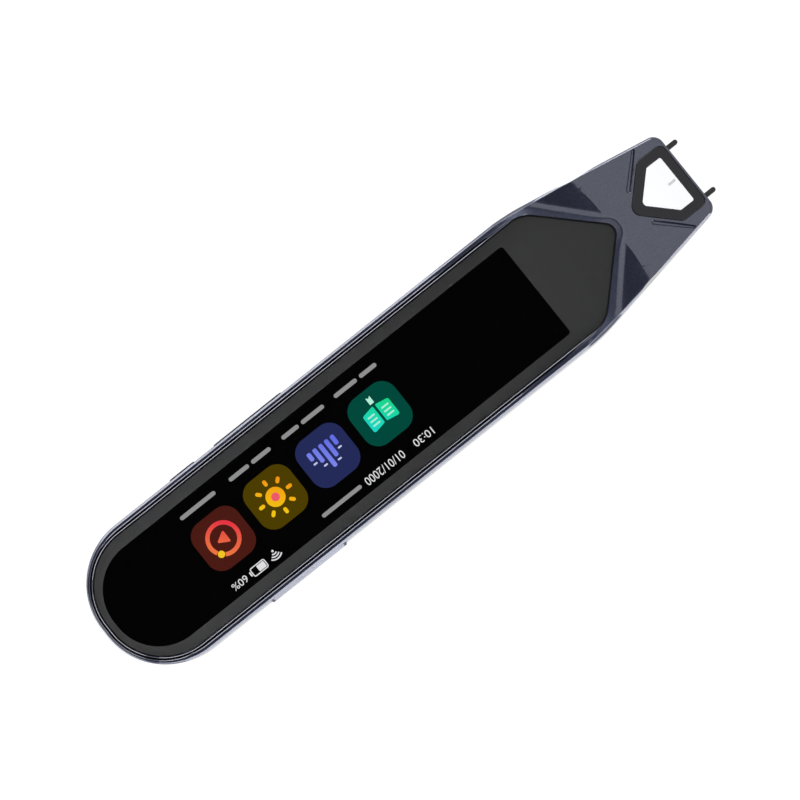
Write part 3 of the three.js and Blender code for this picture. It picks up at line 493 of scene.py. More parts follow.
def deck_planes(point):
    """Height of the nose's two faces, in front of the crest and behind it."""
    crest = crest_at(point)
    if point.x >= crest:
        return nose_top()(point.x)
    slope = (CREST_Z - SHOULDER_DECK_Z) / (CREST_X - SHOULDER_DECK_X)
    lift = nose_top()(crest) - CREST_Z + (CREST_X - crest) * slope
    return CREST_Z - (CREST_X - point.x) * slope + lift * eased(1 - (crest - point.x) / CREST_BLEND)


def swept_crest(bm, surface):
    """Moves the verts round the straight crest so that it follows its turn."""
    for vert in bm.verts:
        point = Vector(vert.co.xy)
        near = 1 - abs(point.x - CREST_X) / CREST_BLEND
        if near <= 0 or vert.co.z < SEAM_Z + 1:
            continue
        taper, across = taper_share(point)
        shift = (crest_at(point) - CREST_X) * eased(near)
        if shift < -0.02:
            point += Vector((shift, -math.copysign(shift * taper * across, point.y)))
            vert.co = (*point, surface.height(point))


def smooth_max(a, b, width):
    """The higher of two heights, with a rounded inner corner."""
    overlap = max(width - abs(a - b), 0.0) / width
    return max(a, b) + overlap * overlap * width / 4


def gap_to(points, point):
    """Distance from a point to a closed outline."""
    nearest = math.inf
    for i, start in enumerate(points):
        end = points[i - 1]
        middle = (start + end) / 2
        if (middle - point).length - (start - end).length / 2 > nearest:
            continue
        foot, share = intersect_point_line(point, end, start)
        if share <= 0:
            foot = end
        elif share >= 1:
            foot = start
        nearest = min(nearest, (Vector(foot[:2]) - point).length)
    return nearest


def divided(points, long_edges):
    """Adds points along the long straight edges of an outline, from their index and count."""
    whole = []
    for i, point in enumerate(points):
        whole.append(point)
        following = points[(i + 1) % len(points)]
        cuts = long_edges.get(i, 0)
        whole.extend(point.lerp(following, (k + 1) / (cuts + 1)) for k in range(cuts))
    return whole


def front_share(x):
    return clamped((x - FRONT_RIM_X) / FRONT_RIM_FADE)


def glass_ring(outset, front_outset, cuts=None):
    """Points round the glass, outset by one distance along the sides and another at the nose."""
    rings = (divided(outline_points(glass_corners(), -reach), cuts or {}) for reach in (outset, front_outset))
    return [side.lerp(front, front_share(side.x)) for side, front in zip(*rings)]


def edge_fall(depth):
    """How far the rounded edge has fallen at a depth from the side."""
    fall = 0.0
    for (outer, steep), (inner, level) in zip(SIDE_LEANS, SIDE_LEANS[1:]):
        start = max(outer, depth)
        if start < inner:
            share = ((start + inner) / 2 - outer) / (inner - outer)
            fall += (inner - start) * math.tan(math.radians(steep + (level - steep) * share))
    return fall


class FrontSurface:
    """Height rules of the front shell: side curve, rim, facet round the glass and nose faces."""

    def __init__(self):
        self.outer = outline_points(body_corners())
        self.plateau = glass_ring(RIM_OUT, FRONT_RIM_OUT)
        self.foot_round = mm(bpy.context.scene.pen_sizes.facet_fillet)

    def side(self, depth):
        """A level rim, a small chamfer, a nearly level ledge and a rounded edge."""
        if depth >= SIDE_LEDGE:
            return RIM_Z - SIDE_STEP * clamped((SIDE_LEDGE + SIDE_CHAMFER - depth) / SIDE_CHAMFER)
        return RIM_Z - SIDE_STEP - edge_fall(depth)

    def facet(self, point, beyond):
        """Height of the facet round the glass, which fades out along the sides and is steep at the apex."""
        slope = FACET_SLOPE * (1 + 0.2 * self.near_apex(point))
        return RIM_Z - beyond * slope * eased((point.x - FACET_X) / FACET_FADE)

    @staticmethod
    def near_apex(point):
        return eased((APEX_HALF - abs(point.y)) / APEX_FADE)

    def deck(self, point, beyond):
        """Height of the nose at a distance beyond the rim."""
        soft = self.foot_round * (1 - 0.8 * self.near_apex(point))
        return min(smooth_max(self.facet(point, beyond), deck_planes(point), soft), RIM_Z)

    def height(self, point):
        depth = gap_to(self.outer, point)
        drop = edge_fall(depth) - edge_fall(NOSE_EDGE_IN) if depth < NOSE_EDGE_IN else 0.0
        return min(self.side(depth), self.deck(point, gap_to(self.plateau, point)) - drop)

    def foot(self, start, end):
        """Where the facet meets the nose faces, as a share of the way from the rim to the side."""
        low, high = 0.0, 1.0
        for _ in range(24):
            middle = (low + high) / 2
            point = start.lerp(end, middle)
            if self.facet(point, gap_to(self.plateau, point)) > deck_planes(point):
                low = middle
            else:
                high = middle
        return (low + high) / 2


def extend_ring(bm, ring, places):
    """Extrudes a closed ring of verts and moves each new vert to its place."""
    edges = [bm.edges.get((vert, ring[i - 1])) for i, vert in enumerate(ring)]
    out = bmesh.ops.extrude_edge_only(bm, edges=edges[1:] + edges[:1])
    new = {item for item in out["geom"] if isinstance(item, bmesh.types.BMVert)}
    grown = []
    for vert, place in zip(ring, places):
        partner = next(edge.other_vert(vert) for edge in vert.link_edges if edge.other_vert(vert) in new)
        partner.co = place
        grown.append(partner)
    return grown


def front_skin():
    """The front shell's outer skin as one closed solid."""
    surface = FrontSurface()
    after_shoulder = REAR_ARC + SHOULDER_ARC + 1
    after_tips = after_shoulder + 2 * (TIP_ARC + 1)
    cuts = {REAR_ARC: 10, after_shoulder: 30, after_tips: 30, after_tips + SHOULDER_ARC + 1: 10}

    def body_ring(inset):
        return divided(outline_points(body_corners(), inset), cuts)

    outer = body_ring(0.0)
    plateau = glass_ring(RIM_OUT, FRONT_RIM_OUT, cuts)
    close = [(inner - edge).length < SIDE_END + 1e-3 for inner, edge in zip(plateau, outer)]
    bm = bmesh.new()
    base = [bm.verts.new((p.x, p.y, SEAM_Z)) for p in outer]
    bm.faces.new(reversed(base))
    ring = extend_ring(bm, base, [(p.x, p.y, SEAM_Z + 0.6) for p in outer])
    for inset in SIDE_RINGS:
        places = []
        for i, p in enumerate(body_ring(inset)):
            if close[i]:
                squeeze = min((plateau[i] - outer[i]).length / SIDE_END, 1.0)
                p = outer[i].lerp(plateau[i], inset / SIDE_END)
                places.append((p.x, p.y, RIM_Z - (RIM_Z - surface.side(inset)) * squeeze))
            else:
                places.append((p.x, p.y, surface.height(p)))
        ring = extend_ring(bm, ring, places)

    # Between the side curve and the rim: nose faces, fillet and facet, merged away along the sides
    spans = []
    for near, start, end in zip(close, plateau, body_ring(SIDE_END)):
        end = start if near else end
        spans.append((start, end, (end - start).length, surface.foot(start, end)))
    steps = [("deck", share) for share in (0.75, 0.5, 0.25)]
    steps += [("foot", share) for share in (1.0, 0.6, 0.3, 0.0, -0.3, -0.6, -1.0)]
    steps += [("facet", share) for share in (0.6, 0.3)]
    for kind, share in steps:
        places = []
        for start, end, width, foot in spans:
            if width < 1e-4:
                places.append(end)
                continue
            reach = surface.foot_round / FACET_SLOPE / width
            if kind == "deck":
                t = min(foot + reach, 1.0) + (1 - min(foot + reach, 1.0)) * share
            elif kind == "foot":
                t = foot + reach * share
            else:
                t = (foot - reach) * share
            places.append(start.lerp(end, clamped(t)))
        ring = extend_ring(bm, ring, [(p.x, p.y, RIM_Z if near else surface.height(p))
                                      for near, p in zip(close, places)])

    # The rim: its edge, a groove, a raised lip and the edge of the glass pocket, which end at the nose
    for outset, front_outset, drop in RIM_RINGS:
        places = []
        for p in glass_ring(outset, front_outset, cuts):
            level = p.x < RIM_LEVEL_X
            limit = RIM_Z if level else min(surface.side(gap_to(surface.outer, p)), surface.deck(p, 0.0))
            places.append((p.x, p.y, limit - drop * (1 - front_share(p.x))))
        ring = extend_ring(bm, ring, places)
    bm.faces.new(ring)
    sliced(bm, CREST_X, 1e-4)
    for vert in bm.verts:
        if abs(vert.co.x - CREST_X) < 1e-3 and SEAM_Z + 1 < vert.co.z < RIM_Z - 0.25:
            vert.co.z = surface.height(Vector(vert.co.xy))
    swept_crest(bm, surface)
    bmesh.ops.remove_doubles(bm, verts=bm.verts, dist=2e-3)
    bmesh.ops.dissolve_degenerate(bm, edges=bm.edges, dist=1e-4)
    bmesh.ops.recalc_face_normals(bm, faces=bm.faces)
    return bm


def key_cut(name):
    x, length, side = KEYS[name]
    bm = prism(stadium(length + 2 * KEY_GAP, KEY_HEIGHT + 2 * KEY_GAP), -3.0, 3.0)
    return moved(along_y(bm, side * SIDE_Y), x=x, z=KEY_Z)


def socket_cut(gap, x0, x1):
    """A long round-ended bar along x at the rear socket."""
    bm = prism(stadium(SOCKET_HEIGHT + 2 * gap, SOCKET_WIDTH + 2 * gap, 10), x0, x1)
    return moved(turned(bm, math.pi / 2, "Y"), z=SOCKET_Z)


def foot_places():
    reach = pen_box("nib_fork")[1][1] - FOOT_HALF
    return (-reach, reach)


def groove_cut(side):
    """A rounded channel beside a slanted edge of the sight window."""
    bm = bmesh.new()
    half = GROOVE_WIDTH / 2
    bmesh.ops.create_uvsphere(bm, u_segments=32, v_segments=20, radius=half)
    bmesh.ops.scale(bm, vec=(1, 1, GROOVE_DEPTH / half), verts=bm.verts)
    for vert in bm.verts:
        if abs(vert.co.x) > 1e-4:
            vert.co.x += math.copysign(GROOVE_LENGTH / 2 - half, vert.co.x)
        vert.co.y *= 1.0 - GROOVE_TAPER * vert.co.x / GROOVE_LENGTH
    middle = GROOVE_START + GROOVE_LENGTH / 2 / math.sqrt(2)
    moved(turned(bm, math.pi / 4), x=WINDOW_POINT_X - GROOVE_OFF * math.sqrt(2) + middle, y=middle)
    if side < 0:
        flipped(bm, (1, -1, 1))
    return lifted(bm, nose_top())


# Node tools


def feed(tree, node, values):
    """Sets a node's inputs, or links those whose value is another node's output."""
    for key, value in values.items():
        if isinstance(value, bpy.types.NodeSocket):
            tree.links.new(value, node.inputs[key])
        else:
            node.inputs[key].default_value = value


def put(tree, kind, values=None, **settings):
    """Adds a node with its settings and inputs."""
    node = tree.nodes.new(kind)
    for key, value in settings.items():
        setattr(node, key, value)
    feed(tree, node, values or {})
    return node


def maths(tree, operation, first, second, **settings):
    return put(tree, "ShaderNodeMath", {0: first, 1: second}, operation=operation, **settings).outputs[0]


def vectors(tree, operation, first, second=(0.0, 0.0, 0.0)):
    """A sum on vectors, or the number that it gives."""
    node = put(tree, "ShaderNodeVectorMath", {0: first, 1: second}, operation=operation)
    return node.outputs["Value" if operation in ("DOT_PRODUCT", "LENGTH") else 0]


def shaded(tree, colour, value):
    """A colour times a value that changes over the surface."""
    if not isinstance(colour, bpy.types.NodeSocket):
        colour = tuple(colour)[:3]
    return vectors(tree, "MULTIPLY", colour, value)


def blend(tree, factor, *ends):
    """A colour between two colours."""
    first, second = (end if isinstance(end, bpy.types.NodeSocket) else (*end, 1.0) for end in ends)
    return put(tree, "ShaderNodeMix", {"Factor": factor, 6: first, 7: second}, data_type="RGBA").outputs[2]


def ranged(tree, value, low, high, from_low=0.0, from_high=1.0):
    return put(tree, "ShaderNodeMapRange", {"Value": value, "From Min": from_low, "From Max": from_high,
                                            "To Min": low, "To Max": high}).outputs[0]


def noise(tree, place, scale, detail, **values):
    return put(tree, "ShaderNodeTexNoise", {"Vector": place, "Scale": scale, "Detail": detail,
                                            **values}).outputs["Fac"]


def cells(tree, place, scale, feature, **values):
    return put(tree, "ShaderNodeTexVoronoi", {"Vector": place, "Scale": scale, **values},
               feature=feature).outputs["Distance"]


def new_group(name, inputs, outputs):
    """A node group. Inputs are numbers with their defaults, or vectors where the default is None."""
    group = bpy.data.node_groups.new(name, "ShaderNodeTree")
    for label, value in inputs.items():
        kind = "NodeSocketVector" if value is None else "NodeSocketFloat"
        socket = group.interface.new_socket(label, in_out="INPUT", socket_type=kind)
        if value is not None:
            socket.default_value = value
    for label in outputs:
        group.interface.new_socket(label, in_out="OUTPUT", socket_type="NodeSocketFloat")
    return group, group.nodes.new("NodeGroupInput").outputs, group.nodes.new("NodeGroupOutput")


def grain_group():
    """Fine speckle for paint and moulded plastic: a shade value round 1, a height and slow patches."""
    group = bpy.data.node_groups.get("Fine grain")
    if not group:
        group, given, result = new_group("Fine grain", {"Vector": None, "Scale": 4000.0, "Shade": 0.1},
                                         ("Value", "Height", "Patches"))
        fine = noise(group, given["Vector"], given["Scale"], 3.0, Roughness=0.6)
        spread = maths(group, "MULTIPLY", maths(group, "SUBTRACT", fine, 0.5), given["Shade"])
        feed(group, result, {"Value": maths(group, "ADD", spread, 1.0), "Height": fine,
                             "Patches": noise(group, given["Vector"], 90.0, 2.0)})
    return group


def edge_group():
    """A mask that is high along the outer edges of a piece, broken up by wear."""
    group = bpy.data.node_groups.get("Edge wear")
    if not group:
        group, given, result = new_group("Edge wear", {"Vector": None, "Width": 0.0002, "Strength": 1.0},
                                         ("Mask",))
        rounded = put(group, "ShaderNodeBevel", {"Radius": given["Width"]}, samples=4)
        face = put(group, "ShaderNodeNewGeometry")
        match = vectors(group, "DOT_PRODUCT", rounded.outputs[0], face.outputs["Normal"])
        worn = maths(group, "MULTIPLY", maths(group, "SUBTRACT", 1.0, match),
                     noise(group, given["Vector"], 700.0, 4.0))
        feed(group, result, {"Mask": maths(group, "MULTIPLY", worn, given["Strength"], use_clamp=True)})
    return group


def speckled(tree, place, scale, shade):
    """Outputs of the fine grain at a place."""
    return put(tree, "ShaderNodeGroup", {"Vector": place, "Scale": scale, "Shade": shade},
               node_tree=grain_group()).outputs


def start_material(name):
    """An empty node material with its tree, Principled shader, coordinates and output."""
    material = bpy.data.materials.new(name)
    material.use_nodes = True
    tree = material.node_tree
    tree.nodes.clear()
    shader = put(tree, "ShaderNodeBsdfPrincipled")
    out = put(tree, "ShaderNodeOutputMaterial", {"Surface": shader.outputs[0]})
    return material, tree, shader, put(tree, "ShaderNodeTexCoord").outputs["Object"], out


def dress(tree, shader, base, gloss, relief, **more):
    """Feeds a shader its colour, its roughness from a value and its ends, and its relief."""
    height, distance, strength = (*relief, 1.0)[:3]
    bump = put(tree, "ShaderNodeBump", {"Height": height, "Strength": strength, "Distance": distance})
    feed(tree, shader, {"Base Color": base, "Roughness": ranged(tree, *(*gloss, 0.3, 0.7)[:5]),
                        "Normal": bump.outputs[0]})
    feed(tree, shader, {key.replace("_", " "): value for key, value in more.items()})


def moulded(tree, shader, place, colour, roughness=0.45, metallic=0.0, grain=3000.0, shade=0.12,
            bump=0.00002, coat=0.0, wear=0.6, specular=0.5):
    """Paint or moulded plastic with fine grain, slow patches of gloss and lighter worn edges."""
    speckle = speckled(tree, place, grain, shade)
    edges = put(tree, "ShaderNodeGroup", {"Vector": place, "Strength": wear}, node_tree=edge_group())
    light = tuple(min(part * 1.9 + 0.01, 1.0) for part in tuple(colour)[:3])
    base = blend(tree, edges.outputs["Mask"], shaded(tree, colour, speckle["Value"]), light)
    dress(tree, shader, base, (speckle["Patches"], roughness - 0.05, roughness + 0.05),
          (speckle["Height"], bump), Metallic=metallic, Specular_IOR_Level=specular, Coat_Weight=coat,
          Coat_Roughness=0.05)


def clear(tree, shader, place, ior, smudge):
    """Clear glass or plastic with faint smudges."""
    feed(tree, shader, {"Roughness": ranged(tree, noise(tree, place, 60.0, 3.0), 0.0, smudge, 0.45, 0.8),
                        "Base Color": (0.98, 0.985, 1.0, 1.0), "Transmission Weight": 1.0, "IOR": ior})


def metal(tree, shader, place, colour, roughness=0.35, stretch=(1, 1, 40), grain=1500.0, bump=0.000004):
    """Bare metal with fine lines along one direction and slow changes of gloss."""
    lines = put(tree, "ShaderNodeMapping", {"Vector": place, "Scale": stretch})
    brushed = speckled(tree, lines.outputs[0], grain, 0.35)
    dress(tree, shader, shaded(tree, colour, brushed["Value"]),
          (brushed["Height"], roughness - 0.08, roughness + 0.1), (brushed["Height"], bump), Metallic=1.0)


def foil(tree, shader, place, colour):
    """Creased metal foil of the battery pouch."""
    speckle = speckled(tree, place, 2500.0, 0.2)
    dress(tree, shader, shaded(tree, colour, speckle["Value"]), (speckle["Patches"], 0.25, 0.45),
          (cells(tree, place, 220.0, "F1"), 0.00004, 0.6), Metallic=1.0)


def circuit(tree, shader, place, colour, track):
    """Solder mask over tracks, with gilt pads in rows."""
    speckle = speckled(tree, place, 3000.0, 0.25)
    edges = cells(tree, place, 520.0, "DISTANCE_TO_EDGE", Randomness=0.75)
    tracks = ranged(tree, edges, 1.0, 0.0, 0.03, 0.08)
    pads = ranged(tree, cells(tree, place, 390.0, "F1", Randomness=0.3), 1.0, 0.0, 0.1, 0.14)
    gilt = blend(tree, pads, blend(tree, tracks, colour, track), (0.55, 0.4, 0.16))
    dress(tree, shader, shaded(tree, gilt, speckle["Value"]), (speckle["Patches"], 0.3, 0.42),
          (tracks, 0.00002, 0.6), Metallic=pads)


def film(tree, shader, place, colour, copper):
    """Polyimide film with copper lines under it."""
    lines = put(tree, "ShaderNodeTexWave", {"Vector": place, "Scale": 420.0, "Distortion": 0.3},
                bands_direction="Y").outputs["Fac"]
    speckle = speckled(tree, place, 2500.0, 0.3)
    mixed = blend(tree, ranged(tree, lines, 0.0, 0.8, 0.45, 0.6), colour, copper)
    dress(tree, shader, shaded(tree, mixed, speckle["Value"]), (speckle["Patches"], 0.3, 0.45),
          (lines, 0.00001))


def print_with_painted_light(tree, shader, place, colour):
    """Matt print with fine dots, with painted light: lighter towards the rear and darker towards the nose,
    evening out the lamps' uneven light along the border.
    """
    speckle = speckled(tree, place, 12000.0, 0.1)
    along = put(tree, "ShaderNodeSeparateXYZ", {0: place}).outputs["X"]
    # Painted light: the print's tone falls from 1.4 at the rear to 0.82 at the nose
    tone = maths(tree, "MULTIPLY", speckle["Value"], ranged(tree, along, 1.4, 0.82, -0.08, 0.05))
    dress(tree, shader, shaded(tree, colour, tone), (speckle["Patches"], 0.55, 0.65),
          (speckle["Height"], 0.000001), Specular_IOR_Level=0.1)


def perforated(tree, shader, place, colour):
    """A thin metal sheet with rows of dark round holes."""
    part = vectors(tree, "FRACTION", vectors(tree, "DIVIDE", place, (0.00042, 0.00042, 1.0)))
    flat = vectors(tree, "MULTIPLY", vectors(tree, "SUBTRACT", part, (0.5, 0.5, 0.0)), (1.0, 1.0, 0.0))
    web = ranged(tree, vectors(tree, "LENGTH", flat), 0.0, 1.0, 0.26, 0.32)
    toned = shaded(tree, colour, speckled(tree, place, 4000.0, 0.3)["Value"])
    dress(tree, shader, shaded(tree, toned, web), (web, 0.9, 0.4, 0.0, 1.0), (web, 0.00005), Metallic=web)


def pixel_mask(tree, place):
    """Dark lines between the rows and columns of a screen's pixels, as a value near 1."""
    pitch = 0.00009
    part = vectors(tree, "FRACTION", vectors(tree, "DIVIDE", place, (pitch, pitch, pitch)))
    axes = put(tree, "ShaderNodeSeparateXYZ", {0: part}).outputs
    return maths(tree, "MULTIPLY", *(ranged(tree, axes[axis], 0.82, 1.0, 0.0, 0.2) for axis in "XY"))


def black_panel(tree, shader, place):
    """The unlit screen."""
    feed(tree, shader, {"Base Color": shaded(tree, (0.0004, 0.0004, 0.0005), pixel_mask(tree, place)),
                        "Roughness": 0.5, "Specular IOR Level": 0.0})


# A sign's colours change over this reach to either side of its middle
SIGN_AXIS = Vector((-1, -1, 0)).normalized()
SIGN_REACH = 3.5


def lit(name, colour, second=None, centre=0.0):
    """A glowing part of the screen picture, plain or shading from one colour to another about a centre."""
    material, tree, shader, place, _ = start_material(name)
    if second:
        along = vectors(tree, "DOT_PRODUCT", place, SIGN_AXIS)
        share = ranged(tree, along, 0.0, 1.0, centre - SIGN_REACH * MM, centre + SIGN_REACH * MM)
        colour = blend(tree, share, colour, second)
    feed(tree, shader, {"Emission Color": shaded(tree, colour, pixel_mask(tree, place)),
                        "Emission Strength": 1.0, "Base Color": (0.0, 0.0, 0.0, 1.0), "Roughness": 0.6,
                        "Specular IOR Level": 0.0})
    return material


def srgb(*values):
    """A screen colour in 0 to 255 as linear light."""
    shares = [value / 255 for value in values]
    return tuple(share / 12.92 if share <= 0.04045 else ((share + 0.055) / 1.055) ** 2.4 for share in shares)


# Each finish by name, with its maker and settings. A colour in text is one of the pen's looks.
FINISHES = {
    "Body paint": (moulded, dict(colour="shell_colour", roughness=0.35, metallic=0.6, grain=2600.0, shade=1.3,
                                 bump=0.000002, coat=1.0, wear=0.2)),
    "Black rubber": (moulded, dict(colour=(0.004, 0.004, 0.005), roughness=0.8, grain=6000.0, shade=0.4,
                                   bump=0.00001, wear=0.0, specular=0.1)),
    "Frame plastic": (moulded, dict(colour="frame_colour", roughness=0.5, grain=5000.0, shade=0.3,
                                    bump=0.00001, wear=0.5, specular=0.25)),
    "Fork plastic": (moulded, dict(colour=(0.03, 0.03, 0.031), roughness=0.42, grain=6000.0, shade=0.25,
                                   bump=0.000008, wear=0.8)),
    "Key plastic": (moulded, dict(colour=(0.005, 0.005, 0.007), roughness=0.6, grain=6000.0, shade=0.3,
                                  bump=0.000006, wear=0.0, specular=0.02)),
    "Index ink": (moulded, dict(colour=(0.72, 0.72, 0.74), roughness=0.5, grain=9000.0, shade=0.2,
                                bump=0.000002, wear=0.0, specular=0.2)),
    "White film": (moulded, dict(colour=(0.75, 0.75, 0.73), roughness=0.5, grain=2500.0, bump=0.000006,
                                 wear=0.1)),
    "Chip resin": (moulded, dict(colour=(0.018, 0.018, 0.02), roughness=0.6, grain=4500.0, shade=0.5,
                                 bump=0.00001, wear=0.4)),
    "Cover glass": (clear, dict(ior=1.45, smudge=0.008)),
    "Clear plastic": (clear, dict(ior=1.22, smudge=0.02)),
    "Cast alloy": (metal, dict(colour=(0.5, 0.51, 0.53), roughness=0.5, stretch=(1, 1, 1), grain=2200.0,
                               bump=0.00002)),
    "Brushed steel": (metal, dict(colour=(0.62, 0.63, 0.66))),
    "Dark zinc": (metal, dict(colour=(0.16, 0.17, 0.2), roughness=0.4, stretch=(1, 1, 12))),
    "Gilt contact": (metal, dict(colour=(0.83, 0.62, 0.3), roughness=0.25, stretch=(1, 20, 20))),
    "Grille sheet": (perforated, dict(colour=(0.3, 0.31, 0.34))),
    # Its print carries painted light, lighter at the rear and darker at the nose
    "Border print": (print_with_painted_light, dict(colour="border_colour")),
    "Circuit board": (circuit, dict(colour=(0.012, 0.06, 0.04), track=(0.03, 0.13, 0.085))),
    "Flex film": (film, dict(colour=(0.42, 0.16, 0.03), copper=(0.6, 0.3, 0.1))),
    "Cell foil": (foil, dict(colour=(0.58, 0.6, 0.62))),
    "Screen black": (black_panel, {}),
}

# Finishes of the engineering pieces that stay in view, by their slots
INNER_LOOKS = {
    "frame_plastic": "Frame plastic", "clear_plastic": "Clear plastic", "white_film": "White film",
    "glue": "Black rubber", "cast_alloy": "Cast alloy", "steel": "Brushed steel",
    "screw_steel": "Dark zinc", "circuit_board": "Circuit board", "chip_resin": "Chip resin",
    "flex_film": "Flex film", "cell_foil": "Cell foil",
}


def finish(name):
    """A material by name, made the first time it is asked for."""
    material = bpy.data.materials.get(name)
    if not material:
        maker, settings = FINISHES[name]
        if isinstance(settings.get("colour"), str):
            settings = {**settings, "colour": getattr(bpy.context.scene.pen_looks, settings["colour"])}
        material, tree, shader, place, _ = start_material(name)
        maker(tree, shader, place, **settings)
    return material


def give(obj, material):
    """Puts one material in every slot of a piece."""
    for slot in obj.material_slots:
        slot.material = material


# Property groups


def length_property(name, description, default, low, high):
    return FloatProperty(name=name, description=description, default=default, min=low, max=high,
                         unit="LENGTH", subtype="DISTANCE")


def angle_property(name, description, degrees):
    return FloatProperty(name=name, description=description, default=math.radians(degrees),
                         unit="ROTATION", subtype="ANGLE")


def colour_property(name, description, default):
    return FloatVectorProperty(name=name, description=description, default=default, size=3, subtype="COLOR")


class PenSizes(bpy.types.PropertyGroup):
    """Sizes that a user may change."""

    body_width: length_property("Body width", "Width of the body across the pen", 0.034, 0.02, 0.05)
    glass_width: length_property("Glass width", "Width of the cover glass", 0.0298, 0.02, 0.05)
    screen_width: length_property("Screen width", "Width of the lit area of the screen", 0.02414, 0.01, 0.04)
    facet_fillet: length_property("Facet fillet", "Height of the soft corner at the facet's foot",
                                  0.00065, 0.00005, 0.001)
    camera_distance: length_property("Camera distance", "From the camera to the screen", 0.8, 0.3, 3.0)
    camera_tilt: angle_property("Camera tilt", "Lean of the camera from straight above", 3.5)
    camera_turn: angle_property("Camera turn", "Turn of the pen in the picture", 38.58)


class PenLooks(bpy.types.PropertyGroup):
    """Colours and words that a user may change."""

    shell_colour: colour_property("Body colour", "Paint of both shells", (0.042, 0.048, 0.083))
    frame_colour: colour_property("Frame colour", "Plastic round the sight window", (0.026, 0.025, 0.03))
    border_colour: colour_property("Border colour", "Print behind the glass's border", (0.036, 0.036, 0.036))
    floor_colour: colour_property("Floor colour", "Pale floor under the pen", (0.95, 0.95, 0.95))
    clock: StringProperty(name="Clock", description="Digits of the clock on the screen", default="10:30")
    charge: StringProperty(name="Charge", description="Number beside the battery sign", default="60%")


# Operators


class PEN_OT_stage(bpy.types.Operator):
    """Make the floor, the lamps, the world and the camera"""

    bl_idname = "pen.stage"
    bl_label = "Stage"

    def execute(self, context):
        self.floor()
        self.world(context.scene)
        self.lamps(context.scene)
        self.camera(context.scene)
        context.scene.view_settings.view_transform = "Standard"
        return {"FINISHED"}

    def floor(self):
        bm = bmesh.new()
        bmesh.ops.create_circle(bm, cap_ends=True, segments=96, radius=1500.0)
        raise_face(bm, -8.0)
        soften(bm, sharp_edges(bm, 60), 3.0, 3)
        bmesh.ops.transform(bm, matrix=Matrix.Scale(MM, 4), verts=bm.verts)
        obj = mesh_object(bm, "floor")
        obj.data.materials.append(self.floor_material())

    @staticmethod
    def floor_material():
        material, tree, shader, place, out = start_material("Floor card")
        tree.nodes.remove(shader)
        path = put(tree, "ShaderNodeLightPath").outputs
        tone = ranged(tree, noise(tree, place, 300.0, 2.0), 0.155, 0.165)
        colour = shaded(tree, bpy.context.scene.pen_looks.floor_colour, tone)
        card = put(tree, "ShaderNodeBsdfDiffuse", {"Color": colour})
        seen = maths(tree, "MULTIPLY", path["Is Camera Ray"], 0.93)
        mirrored = put(tree, "ShaderNodeMath", {0: path["Is Glossy Ray"], 1: 0.7, 2: seen},
                       operation="MULTIPLY_ADD").outputs[0]
        through = maths(tree, "ADD", mirrored, path["Is Transmission Ray"], use_clamp=True)
        glow = put(tree, "ShaderNodeEmission", {"Strength": through})
        both = put(tree, "ShaderNodeAddShader", {0: card.outputs[0], 1: glow.outputs[0]})
        feed(tree, out, {"Surface": both.outputs[0]})
        return material

    @staticmethod
    def world(scene):
        world = bpy.data.worlds.new("Studio")
        scene.world = world
        world.use_nodes = True
        tree = world.node_tree
        tree.nodes.clear()
        path = put(tree, "ShaderNodeLightPath").outputs
        place = put(tree, "ShaderNodeTexCoord").outputs["Generated"]
        height = put(tree, "ShaderNodeSeparateXYZ", {0: place}).outputs["Z"]
        mirrored = ranged(tree, height, 1.0, 0.012, 0.08, 0.34)
        lit_first = maths(tree, "GREATER_THAN", path["Diffuse Depth"], 0.5)
        fill = put(tree, "ShaderNodeMix", {"Factor": lit_first, 2: mirrored, 3: 0.3}).outputs[0]
        whole = put(tree, "ShaderNodeMix", {"Factor": path["Is Camera Ray"], 2: fill, 3: 1.0}).outputs[0]
        light = put(tree, "ShaderNodeBackground", {"Color": (1, 1, 1, 1), "Strength": whole})
        put(tree, "ShaderNodeOutputWorld", {"Surface": light.outputs[0]})

    @staticmethod
    def lamps(scene):
        # Lean and turn in degrees, distance, length and width in metres, and radiance
        for name, lean, turn, distance, size, size_y, radiance in (
                ("softbox_top", 33, 0, 1.3, 2.2, 0.95, 1.25),
                ("strip_near", 79, -97, 1.4, 2.5, 0.36, 6.9),
                ("strip_far", 79, 97, 1.4, 2.5, 0.36, 6.9),
                ("strip_rear", 79, 180, 1.4, 1.6, 0.36, 6.9)):
            data = bpy.data.lights.new(name, "AREA")
            data.shape = "RECTANGLE"
            data.size, data.size_y = size, size_y
            data.energy = radiance * math.pi * size * size_y
            obj = bpy.data.objects.new(name, data)
            scene.collection.objects.link(obj)
            lean, turn = math.radians(lean), math.radians(turn)
            where = Vector((math.sin(lean) * math.cos(turn), math.sin(lean) * math.sin(turn), math.cos(lean)))
            obj.location = where * distance
            obj.rotation_euler = where.to_track_quat("Z", "Y").to_euler()
            obj.visible_camera = False

    @staticmethod
    def camera(scene):
        sizes = scene.pen_sizes
        data = bpy.data.cameras.new("camera")
        data.lens = 166.2
        data.sensor_width = 36.0
        obj = bpy.data.objects.new("camera", data)
        scene.collection.objects.link(obj)
        target = Vector((REAR_X + CAMERA_X, CAMERA_Y, TOP_Z)) * MM
        back = Vector((0, -math.sin(sizes.camera_tilt), math.cos(sizes.camera_tilt)))
        right = Vector((math.cos(sizes.camera_turn), -math.sin(sizes.camera_turn), 0))
        right = (right - back * right.dot(back)).normalized()
        turn = Matrix((right, back.cross(right), back)).transposed().to_4x4()
        obj.matrix_world = Matrix.Translation(target + back * sizes.camera_distance) @ turn
        scene.camera = obj


